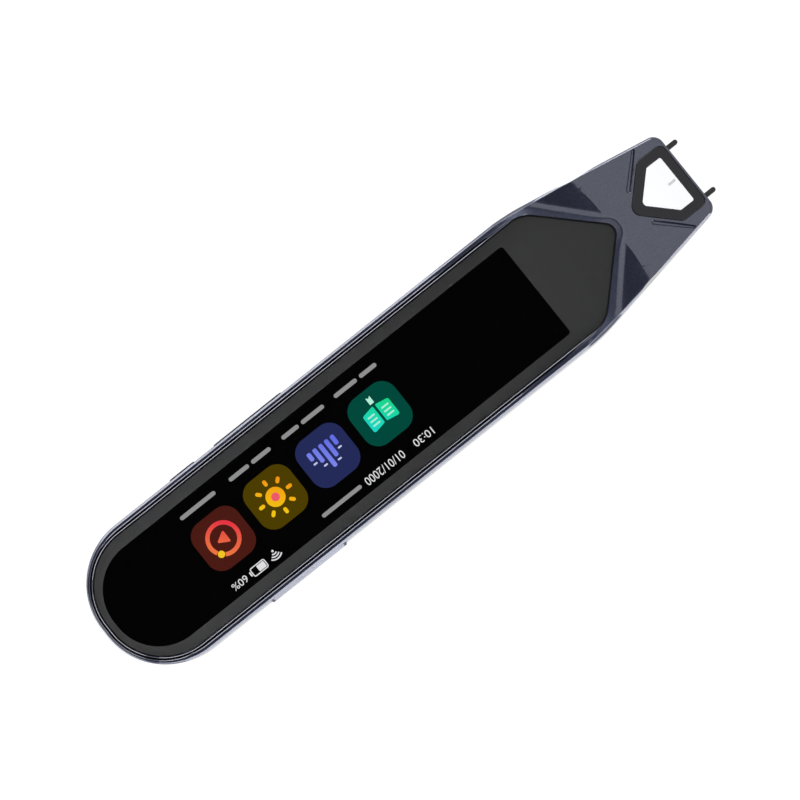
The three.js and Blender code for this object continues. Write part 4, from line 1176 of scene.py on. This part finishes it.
class PEN_OT_front_shell(bpy.types.Operator):
    """Make the front shell: sides, rim, faceted nose and every opening in it"""

    bl_idname = "pen.front_shell"
    bl_label = "Front shell"

    def execute(self, context):
        nose_bay = sliced(prism(body_corners(), SEAM_Z - 3, NOSE_BAY_Z, inset=WALL), NOSE_BAY_X)
        for vert in nose_bay.verts:
            if vert.co.z > SEAM_Z + 1:
                vert.co.z = min(NOSE_BAY_Z, nose_top(-ROOF)(vert.co.x))
        slot_half = FOOT_HALF + 0.2
        cuts = [
            prism(bay_corners(), SEAM_Z - 3, LEDGE_UNDER_Z),
            nose_bay,
            prism(screen_corners(SCREEN_MARGIN), SEAM_Z, TOP_Z + 1),
            prism(glass_corners(), LEDGE_Z, TOP_Z + 1, inset=-GLASS_GAP),
            prism(window_corners(), nose_top(-FRAME_DEPTH), nose_top(2), inset=-0.16),
            prism(window_corners(), nose_top(-ROOF - 2), nose_top(2), inset=1.0),
            groove_cut(1), groove_cut(-1),
            *(key_cut(name) for name in KEYS),
            socket_cut(0.12, -2.0, 8.0),
            rod((-2, MICROPHONE_Y, SOCKET_Z), (WALL + 2, MICROPHONE_Y, SOCKET_Z), MICROPHONE_RADIUS),
            *(block(FOOT_SLOT_X, BODY_LENGTH + 2, y - slot_half, y + slot_half, *FOOT_SLOT_Z)
              for y in foot_places()),
            block(FOOT_SLOT_X, BODY_LENGTH + 2, -SCAN_SLOT_HALF, SCAN_SLOT_HALF, *SCAN_SLOT_Z),
        ]
        keep_piece(carve(front_skin(), cuts), "front_case", finish("Body paint"),
                   replaces=["front_frame"], smooth=28, crease=self.on_crest)
        return {"FINISHED"}

    @staticmethod
    def on_crest(place):
        point = Vector((mm(place.x) - REAR_X, mm(place.y)))
        return abs(point.x - crest_at(point)) < 0.02 and mm(place.z) > 9


class PEN_OT_rear_cover(bpy.types.Operator):
    """Make the rear cover with its rounded edge, speaker slots and screw holes"""

    bl_idname = "pen.rear_cover"
    bl_label = "Rear cover"

    def execute(self, context):
        bm = bmesh.new()
        ring = [bm.verts.new((p.x, p.y, SEAM_Z - SEAM_GAP)) for p in outline_points(body_corners())]
        bm.faces.new(ring)
        for step in range(11):
            angle = math.radians(90 * step / 10)
            points = outline_points(body_corners(), BACK_RADIUS * (1 - math.cos(angle)))
            ring = extend_ring(bm, ring, [(p.x, p.y, BACK_RADIUS * (1 - math.sin(angle))) for p in points])
        bm.faces.new(ring)
        bmesh.ops.recalc_face_normals(bm, faces=bm.faces)
        under = block(UNDERSIDE_X, BODY_LENGTH + 2, -20, 20, -3, 0)
        for vert in under.verts:
            if vert.co.z > -1:
                vert.co.z = nose_under()(vert.co.x)
        bay = sliced(prism(body_corners(), FLOOR_Z, SEAM_Z + 1, inset=WALL), UNDERSIDE_X)
        for vert in bay.verts:
            if vert.co.z < 2 and vert.co.x > UNDERSIDE_X:
                vert.co.z = nose_under(FLOOR_Z)(vert.co.x)
        bm = carve(bm, [under, bay])
        places = [box_middle(name) for name in screw_names()]
        bosses = [rod((x, y, FLOOR_Z / 2), (x, y, BOSS_TOP), BOSS_RADIUS) for x, y in places]
        bm = carve(bm, bosses, "UNION")
        cuts = [
            prism(window_corners(), nose_under(-2), nose_under(FRAME_DEPTH), inset=-0.1),
            prism(window_corners(), nose_under(-2), nose_under(FLOOR_Z + 2), inset=1.0),
        ]
        speaker_x = box_middle("speaker_box")[0]
        for i in range(SPEAKER_SLOTS):
            slot = turned(prism(stadium(7.0, 0.8, 6), -2.0, 1.5), math.pi / 2)
            cuts.append(moved(slot, x=speaker_x + (i - (SPEAKER_SLOTS - 1) / 2) * SPEAKER_PITCH))
        for x, y in places:
            cuts += [rod((x, y, -1), (x, y, SCREW_HEAD_DEPTH), SCREW_HEAD_HOLE, 48),
                     rod((x, y, -1), (x, y, 4), SCREW_HOLE)]
        keep_piece(carve(bm, cuts), "rear_case", finish("Body paint"),
                   replaces=["rear_cover"], smooth=28)
        return {"FINISHED"}


class PEN_OT_glass(bpy.types.Operator):
    """Make the cover glass, the dark print behind its border, its black gasket, which also stands in for the
    shade of the gap, and a black strip of painted shade in the rim's groove
    """

    bl_idname = "pen.glass"
    bl_label = "Cover glass"

    def execute(self, context):
        glass = outline_mesh(glass_corners(40), z=GLASS_Z)
        raise_face(glass, TOP_Z - GLASS_Z)
        top = max(glass.faces, key=lambda face: face.calc_center_median().z)
        rim = list(top.verts)
        bmesh.ops.inset_individual(glass, faces=[top], thickness=GLASS_CHAMFER, depth=0.0,
                                   use_even_offset=True)
        bmesh.ops.translate(glass, verts=rim, vec=(0, 0, -GLASS_CHAMFER_DROP))
        obj = keep_piece(glass, "glass_sheet", finish("Cover glass"), replaces=["cover_glass"],
                         smooth=10)
        obj.visible_shadow = False
        rubber = finish("Black rubber")
        for name, outer, inner, material in (
                ("glass_border_print", 0.19, prism(screen_corners(), PANEL_TOP_Z - 1, GLASS_Z + 1),
                 finish("Border print")),
                ("glass_edge_print", 0.01, prism(glass_corners(40), PANEL_TOP_Z - 1, GLASS_Z + 1, inset=0.2),
                 rubber)):
            ring = prism(glass_corners(40), PANEL_TOP_Z + 0.01, GLASS_Z - 0.01, inset=outer)
            keep_piece(carve(ring, [inner]), name, material, smooth=0)
        # The black gasket is a real seal round the glass, and it also stands in for the shade in the narrow
        # gap. The strip at the bottom of the rim's groove is painted shade: black rubber that makes the
        # groove read black.
        gasket_and_gap_shade = carve(prism(glass_corners(), LEDGE_Z, 11.35, inset=-GLASS_GAP + 0.01),
                       [prism(glass_corners(), LEDGE_Z - 1, TOP_Z, inset=-0.01)])
        groove_shade_strip = carve(prism(glass_corners(), 11.05, 11.22, inset=-RIM_SHADE_OUT),
                     [prism(glass_corners(), 11.0, TOP_Z, inset=-RIM_SHADE_IN),
                      block(FRONT_RIM_X, 150, -20, 20, 10, 12)])
        for name, ring in (("glass_gasket", gasket_and_gap_shade), ("rim_seal", groove_shade_strip)):
            soften(ring, edges_above(sharp_edges(ring, 60), 11.2), 0.04, 2)
            keep_piece(ring, name, rubber, smooth=30)
        return {"FINISHED"}


class PEN_OT_windows(bpy.types.Operator):
    """Make the sight window's two frames and panes, and the mark on the front pane"""

    bl_idname = "pen.windows"
    bl_label = "Sight window"

    def execute(self, context):
        for side, bars in (("front", (2.2, 1.9)), ("back", (1.8, 1.2))):
            front = side == "front"
            ring = carve(prism(window_corners(), 0.0, FRAME_DEPTH + (FRAME_PROUD if front else 0.0)),
                         [prism(window_corners(*bars), -1.0, 2.0)])
            outer = [edge for edge in level_edges(ring, 50)
                     if (min(vert.co.z for vert in edge.verts) > 0.5) == front]
            soften(ring, outer, 0.16, 3)
            pane_base = prism(window_corners(), 0.0, LENS_THICKNESS, inset=0.7)
            pane_step = prism(window_corners(*bars), 0.4, LENS_THICKNESS + ROOF - LENS_RECESS, inset=0.1)
            lens = carve(pane_base, [pane_step], "UNION")
            if front:
                lifted(ring, nose_top(-FRAME_DEPTH))
                lifted(lens, nose_top(-ROOF - LENS_THICKNESS))
            else:
                lifted(flipped(lens, (1, 1, -1)), nose_under(FLOOR_Z + LENS_THICKNESS))
                lifted(ring, nose_under())
            keep_piece(ring, f"window_rim_{side}", finish("Frame plastic"),
                       replaces=[f"window_frame_{side}"], smooth=40)
            if front:
                self.index_mark()
            obj = keep_piece(lens, f"window_pane_{side}", finish("Clear plastic"),
                             replaces=[f"sight_lens_{side}"], smooth=30)
            obj.visible_shadow = False
        return {"FINISHED"}

    @staticmethod
    def index_mark():
        """A short centre line printed on the front pane."""
        mark = outline_mesh(both_sides((156.3, 0.28, 0.05, 2), (158.2, 0.28, 0.05, 2)))
        raise_face(mark, 0.012)
        lifted(mark, nose_top(0.001 - LENS_RECESS))
        keep_piece(mark, "window_index", finish("Index ink"), smooth=0)


class PEN_OT_fasteners(bpy.types.Operator):
    """Make the six cross-head screws, the socket's shell and its contacts"""

    bl_idname = "pen.fasteners"
    bl_label = "Screws and socket"

    def execute(self, context):
        for name in screw_names():
            self.screw(name)
        self.socket()
        return {"FINISHED"}

    @staticmethod
    def screw(name):
        (_, _, base), (_, _, top) = pen_box(name)
        x, y = box_middle(name)
        head = base + 0.9
        pitch, core, crest = 0.3, 0.47, 0.6
        profile = [(0, base), (0.85, base), (1.2, base + 0.07), (1.34, base + 0.28), (1.34, head),
                   (crest, head)]
        for i in range(int((top - pitch - head) / pitch)):
            profile += [(crest, head + pitch * i + 0.1), (core, head + pitch * i + 0.25)]
        profile += [(0.55, top - 0.3), (0.3, top), (0, top)]
        bm = bmesh.new()
        verts = [bm.verts.new((radius, 0, z)) for radius, z in profile]
        edges = [bm.edges.new(pair) for pair in zip(verts, verts[1:])]
        bmesh.ops.spin(bm, geom=[*verts, *edges], cent=(0, 0, 0), axis=(0, 0, 1), angle=2 * math.pi, steps=36,
                       use_merge=True)
        bmesh.ops.remove_doubles(bm, verts=bm.verts, dist=1e-4)
        bmesh.ops.recalc_face_normals(bm, faces=bm.faces)
        arm, half = 0.84, 0.175
        bm = carve(bm, [block(-a, a, -b, b, base - 1, base + 0.35) for a, b in ((arm, half), (half, arm))])
        keep_piece(moved(bm, x=x, y=y), f"{name}_turned", finish("Dark zinc"),
                   replaces=[name])

    @staticmethod
    def socket():
        (x0, _, _), (x1, _, _) = pen_box("usb_shell")
        rim = carve(socket_cut(0.0, x0, x1), [socket_cut(-0.3, x0 - 1, x1 - 0.6)])
        mouth = [edge for edge in sharp_edges(rim, 60) if max(vert.co.x for vert in edge.verts) < x0 + 0.01]
        soften(rim, mouth, 0.1, 3)
        keep_piece(rim, "socket_rim", finish("Brushed steel"), replaces=["usb_shell"])
        (x0, y0, z0), (x1, y1, z1) = pen_box("usb_tongue")
        tongue = block(x0, x1, y0, y1, z0, z1, bevel=0.15, segments=3)
        keep_piece(tongue, "socket_tongue", finish("Frame plastic"),
                   replaces=["usb_tongue"])
        rows = [y0 + 0.55 + i * (y1 - y0 - 1.1) / 11 for i in range(12)]
        pins = [block(x0 + 0.7, x0 + 4.0, y - 0.13, y + 0.13, z, z + 0.04, bevel=0.012, segments=1)
                for y in rows for z in (z0 - 0.03, z1 - 0.01)]
        keep_piece(gathered(pins), "socket_contacts", finish("Gilt contact"))


class PEN_OT_inner_looks(bpy.types.Operator):
    """Give every engineering piece that stays in view its procedural finish"""

    bl_idname = "pen.inner_looks"
    bl_label = "Inner finishes"

    def execute(self, context):
        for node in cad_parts.values():
            for slot in node.material_slots:
                kind = slot.material.name.split(".")[0] if slot.material else ""
                if kind in INNER_LOOKS:
                    slot.material = finish(INNER_LOOKS[kind])
        give(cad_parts["speaker_mesh"], finish("Grille sheet"))
        return {"FINISHED"}


class PEN_OT_nib(bpy.types.Operator):
    """Make the sprung fork whose two feet stand out of the tip"""

    bl_idname = "pen.nib"
    bl_label = "Nib fork"

    def execute(self, context):
        (x0, _, z0), (x1, _, z1) = pen_box("nib_fork")
        arms = []
        for y in foot_places():
            arm = prism(both_sides((x0, FOOT_HALF, 0.3, 4), (x1, FOOT_HALF, 0.56, 8)), z0, z1)
            soften(arm, level_edges(arm, 60), 0.2, 3)
            arms.append(moved(arm, y=y))
        bar = block(x0, x0 + 2.6, *foot_places(), z0, z1, bevel=0.1)
        keep_piece(carve(arms[0], [bar, arms[1]], "UNION"), "nib_feet",
                   finish("Fork plastic"), body="nib", replaces=["nib_fork"], smooth=40)
        return {"FINISHED"}


class PEN_OT_keys(bpy.types.Operator):
    """Make the power key, the volume rocker and the function key"""

    bl_idname = "pen.keys"
    bl_label = "Side keys"

    def execute(self, context):
        for name, (x, length, side) in KEYS.items():
            inner = min(abs(corner[1]) for corner in pen_box(name))
            face = prism(stadium(length, KEY_HEIGHT, 10), inner + 0.5, SIDE_Y + KEY_PROUD)
            rim = edges_above(face.edges, SIDE_Y)
            if side < 0:
                soften(face, rim, PAINTED_KEY_CHAMFER, 1, clamp=False)
                soften(face, edges_above(face.edges, SIDE_Y + 0.4), PAINTED_KEY_ROUND, 3)
                for vert in face.verts:
                    if SIDE_Y - 0.1 < vert.co.z < SIDE_Y:
                        vert.co.z = SIDE_Y - 0.15
            else:
                soften(face, rim, KEY_ROUND, 4)
            lip = block(-length / 2 - KEY_LIP, length / 2 + KEY_LIP, -KEY_HEIGHT / 2, KEY_HEIGHT / 2, inner,
                        inner + KEY_LIP, bevel=0.08)
            key = along_y(carve(face, [lip], "UNION"), 0.0)
            if side < 0:
                flipped(key, (1, -1, 1))
            keep_piece(moved(key, x=x, z=KEY_Z), f"{name}_cap",
                       finish("Body paint" if side < 0 else "Key plastic"), body=name, replaces=[name])
        return {"FINISHED"}


def tile_ring(length, height, radius, width):
    """A flat rounded frame, bridged from its outer outline to its inner one."""
    bm = bmesh.new()
    loops = []
    for inset in (0.0, width):
        points = outline_points(box_corners(length / 2 - inset, height / 2 - inset, radius - inset, 5))
        verts = [bm.verts.new((p.x, p.y, 0)) for p in points]
        loops += [bm.edges.new((verts[i - 1], vert)) for i, vert in enumerate(verts)]
    bmesh.ops.bridge_loops(bm, edges=loops)
    return bm


def bar(x, y, length, height, turn=0.0):
    """A flat bar with round ends, turned about the sign's middle."""
    return turned(moved(outline_mesh(stadium(length, height, 5)), x=x, y=y), turn)


def arc_band(inner, outer, start, sweep, steps):
    """A flat curved band, spun from one short edge, with its start and sweep in degrees."""
    bm = bmesh.new()
    start = math.radians(start)
    facing = Vector((math.cos(start), math.sin(start), 0))
    pair = [bm.verts.new(facing * inner), bm.verts.new(facing * outer)]
    bmesh.ops.spin(bm, geom=[*pair, bm.edges.new(pair)], cent=(0, 0, 0), axis=(0, 0, 1),
                   angle=math.radians(sweep), steps=steps, use_merge=False)
    return bm


def disc(radius, segments=40, x=0.0, y=0.0):
    bm = bmesh.new()
    bmesh.ops.create_circle(bm, cap_ends=True, segments=segments, radius=radius)
    return moved(bm, x=x, y=y)


def digits(text, width, height):
    """Plain digits as a flat mesh of the given size, centred on the origin."""
    curve = bpy.data.curves.new("digits", "FONT")
    curve.body = text
    curve.resolution_u = 6
    obj = bpy.data.objects.new("digits", curve)
    bpy.context.scene.collection.objects.link(obj)
    view = bpy.context.evaluated_depsgraph_get()
    bm = bmesh.new()
    bm.from_mesh(obj.evaluated_get(view).to_mesh())
    bpy.data.objects.remove(obj)
    bpy.data.curves.remove(curve)
    bmesh.ops.remove_doubles(bm, verts=bm.verts, dist=1e-5)
    (x0, x1), (y0, y1) = ((min(line), max(line)) for line in zip(*(vert.co.xy for vert in bm.verts)))
    moved(bm, x=-(x0 + x1) / 2, y=-(y0 + y1) / 2)
    bmesh.ops.scale(bm, vec=(width / (x1 - x0), height / (y1 - y0), 1), verts=bm.verts)
    return bm


class PEN_OT_screen(bpy.types.Operator):
    """Light the screen: a status line, four tiles with plain signs, and blank captions"""

    bl_idname = "pen.screen"
    bl_label = "Screen picture"

    TILE_XS = (76.28, 61.78, 47.31, 32.87)
    TILE_Y = 0.02
    STATUS_Y = -9.82
    # Plates of the picture are thin, and each layer lies a little higher
    PLATE, LAYER = 0.014, 0.017

    def execute(self, context):
        give(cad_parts["display_panel"], finish("Screen black"))
        self.tiles()
        self.signs()
        self.words(context.scene.pen_looks)
        return {"FINISHED"}

    def light_piece(self, meshes, name, material, x, y, layer=0):
        """Flat shapes drawn upright, gathered in one glowing piece. The screen's top points to -Y."""
        for bm in meshes:
            bmesh.ops.dissolve_degenerate(bm, edges=bm.edges, dist=1e-5)
            raise_face(bm, self.PLATE)
            moved(turned(bm, math.pi), x, y, PANEL_TOP_Z + 0.003 + self.LAYER * layer)
        keep_piece(gathered(meshes), name, material, smooth=0)

    def tiles(self):
        shades = {"green": (0, 76, 62), "blue": (38, 45, 92), "olive": (80, 64, 0), "maroon": (77, 28, 20)}
        for (name, shade), x in zip(shades.items(), self.TILE_XS):
            self.light_piece([outline_mesh(box_corners(6.08, 6.08, 3.6, 10))], f"tile_{name}",
                             lit(f"Tile {name}", srgb(*shade)), x, self.TILE_Y)

    def sign(self, name, column, shapes, accents, first, second, accent):
        """A tile's sign in two layers: a shaded shape and its pale or bright accents."""
        x = self.TILE_XS[column]
        centre = Vector(((REAR_X + x) * MM, self.TILE_Y * MM, 0)).dot(SIGN_AXIS)
        body = lit(f"Sign {name}", srgb(*first), srgb(*second), centre)
        self.light_piece(shapes, f"sign_{name}", body, x, self.TILE_Y, 1)
        bright = lit(f"Accent {name}", srgb(*accent))
        self.light_piece(accents, f"sign_{name}_accent", bright, x, self.TILE_Y, 2)

    def signs(self):
        page = [(0.3, -2.3, 0.25, 3), (3.5, -1.7, 0.5, 5), (3.5, 2.7, 0.5, 5), (0.3, 2.1, 0.25, 3)]
        left = [(-x, y, radius, arc) for x, y, radius, arc in reversed(page)]
        lines = [bar(side * 1.9, y, 1.9, 0.36) for side in (-1, 1) for y in (1.3, 0.3, -0.7)]
        ribbon = outline_mesh([(-0.55, -4.6, 0.1, 2), (0.0, -4.1, 0.05, 2), (0.55, -4.6, 0.1, 2),
                               (0.55, -2.75, 0.1, 2), (-0.55, -2.75, 0.1, 2)])
        self.sign("book", 0, [outline_mesh(page), outline_mesh(left)], [*lines, ribbon], (25, 225, 140),
                  (30, 225, 205), (190, 250, 225))
        columns = ((-3.2, 2.4), (-1.6, 4.4), (0.0, 6.0), (1.6, 3.6), (3.2, 2.0))
        levels = [moved(outline_mesh(box_corners(0.5, height / 2, 0.4, 5)), x, height / 2 - 3)
                  for x, height in columns]
        peaks = [bar(x, height - 2.2, 1.0, 0.4) for x, height in columns if x]
        self.sign("levels", 1, levels, peaks, (104, 116, 238), (136, 146, 246), (205, 210, 255))
        rays = [bar(3.7, 0, 1.5, 0.85, math.pi / 4 * i) for i in range(8)]
        self.sign("sun", 2, [disc(2.2), *rays], [disc(0.95, 30)], (255, 160, 20), (255, 208, 20),
                  (250, 95, 110))
        ring = arc_band(3.0, 3.95, 60, 330, 60)
        arrow = outline_mesh([(-1.0, -1.6, 0.3, 4), (1.75, 0.0, 0.3, 4), (-1.0, 1.6, 0.3, 4)])
        knob = disc(0.8, 30, 3.475 * math.cos(math.pi / 4), 3.475 * math.sin(math.pi / 4))
        self.sign("play", 3, [ring, arrow], [knob], (240, 55, 70), (250, 125, 70), (255, 205, 40))

    def words(self, looks):
        white = lit("Screen white", srgb(232, 232, 232))
        battery = [tile_ring(4.0, 2.2, 0.5, 0.24), bar(2.3, 0, 0.36, 1.1),
                   outline_mesh(both_sides((-1.6, 0.72, 0.2, 3), (0.35, 0.72, 0.2, 3)))]
        arcs = [arc_band(radius, radius + 0.3, 45, 90, 16) for radius in (0.62, 1.22, 1.82)]
        waves = [moved(bm, y=-1.05) for bm in (*arcs, disc(0.27, 20))]
        for name, meshes, x in (("clock", [digits(looks.clock, 5.1, 1.75)], 80.5),
                                ("date", [digits("01/01/2000", 10.4, 1.9)], 69.8),
                                ("charge", [digits(looks.charge, 3.9, 1.62)], 29.7),
                                ("battery", battery, 35.0), ("waves", waves, 39.5)):
            self.light_piece(meshes, f"screen_{name}", white, x, self.STATUS_Y)
        grey = lit("Screen grey", srgb(150, 150, 150))
        self.light_piece([bar(0, 0, 10.8, 0.9)], "screen_day", grey, 58.0, -9.7)
        # Captions of one or two bars: their place along the pen, whole length and first bar's length
        captions = [(76.5, 11.6, 4.6), (62.0, 11.6, 6.2), (47.3, 11.4, 5.2), (32.9, 9.6, 0.0)]
        for i, (x, length, first) in enumerate(captions):
            bars = [bar(0, 0, length, 0.95)]
            if first:
                rest = length - first - 0.8
                bars = [bar((first - length) / 2, 0, first, 0.95), bar((length - rest) / 2, 0, rest, 0.95)]
            self.light_piece(bars, f"screen_caption_{i + 1}", grey, x, 9.05)


OPERATORS = (PEN_OT_stage, PEN_OT_inner_looks, PEN_OT_front_shell, PEN_OT_rear_cover, PEN_OT_glass,
             PEN_OT_windows, PEN_OT_nib, PEN_OT_keys, PEN_OT_fasteners, PEN_OT_screen)


class PEN_PT_panel(bpy.types.Panel):
    """Lists the pen's sizes, looks and building steps"""

    bl_idname = "PEN_PT_panel"
    bl_label = "Scanning Pen"
    bl_space_type = "VIEW_3D"
    bl_region_type = "UI"
    bl_category = "Scanning Pen"

    def draw(self, context):
        layout = self.layout
        for group in (context.scene.pen_sizes, context.scene.pen_looks):
            column = layout.column(align=True)
            for name in group.__annotations__:
                column.prop(group, name)
        steps = layout.column()
        for operator in OPERATORS:
            steps.operator(operator.bl_idname)


CLASSES = (PenSizes, PenLooks, *OPERATORS, PEN_PT_panel)


def register():
    for item in CLASSES:
        bpy.utils.register_class(item)
    bpy.types.Scene.pen_sizes = PointerProperty(type=PenSizes)
    bpy.types.Scene.pen_looks = PointerProperty(type=PenLooks)


def unregister():
    del bpy.types.Scene.pen_looks
    del bpy.types.Scene.pen_sizes
    for item in reversed(CLASSES):
        bpy.utils.unregister_class(item)


def main():
    register()
    for operator in OPERATORS:
        getattr(bpy.ops.pen, operator.bl_idname.split(".")[1])()


if __name__ == "__main__":
    main()
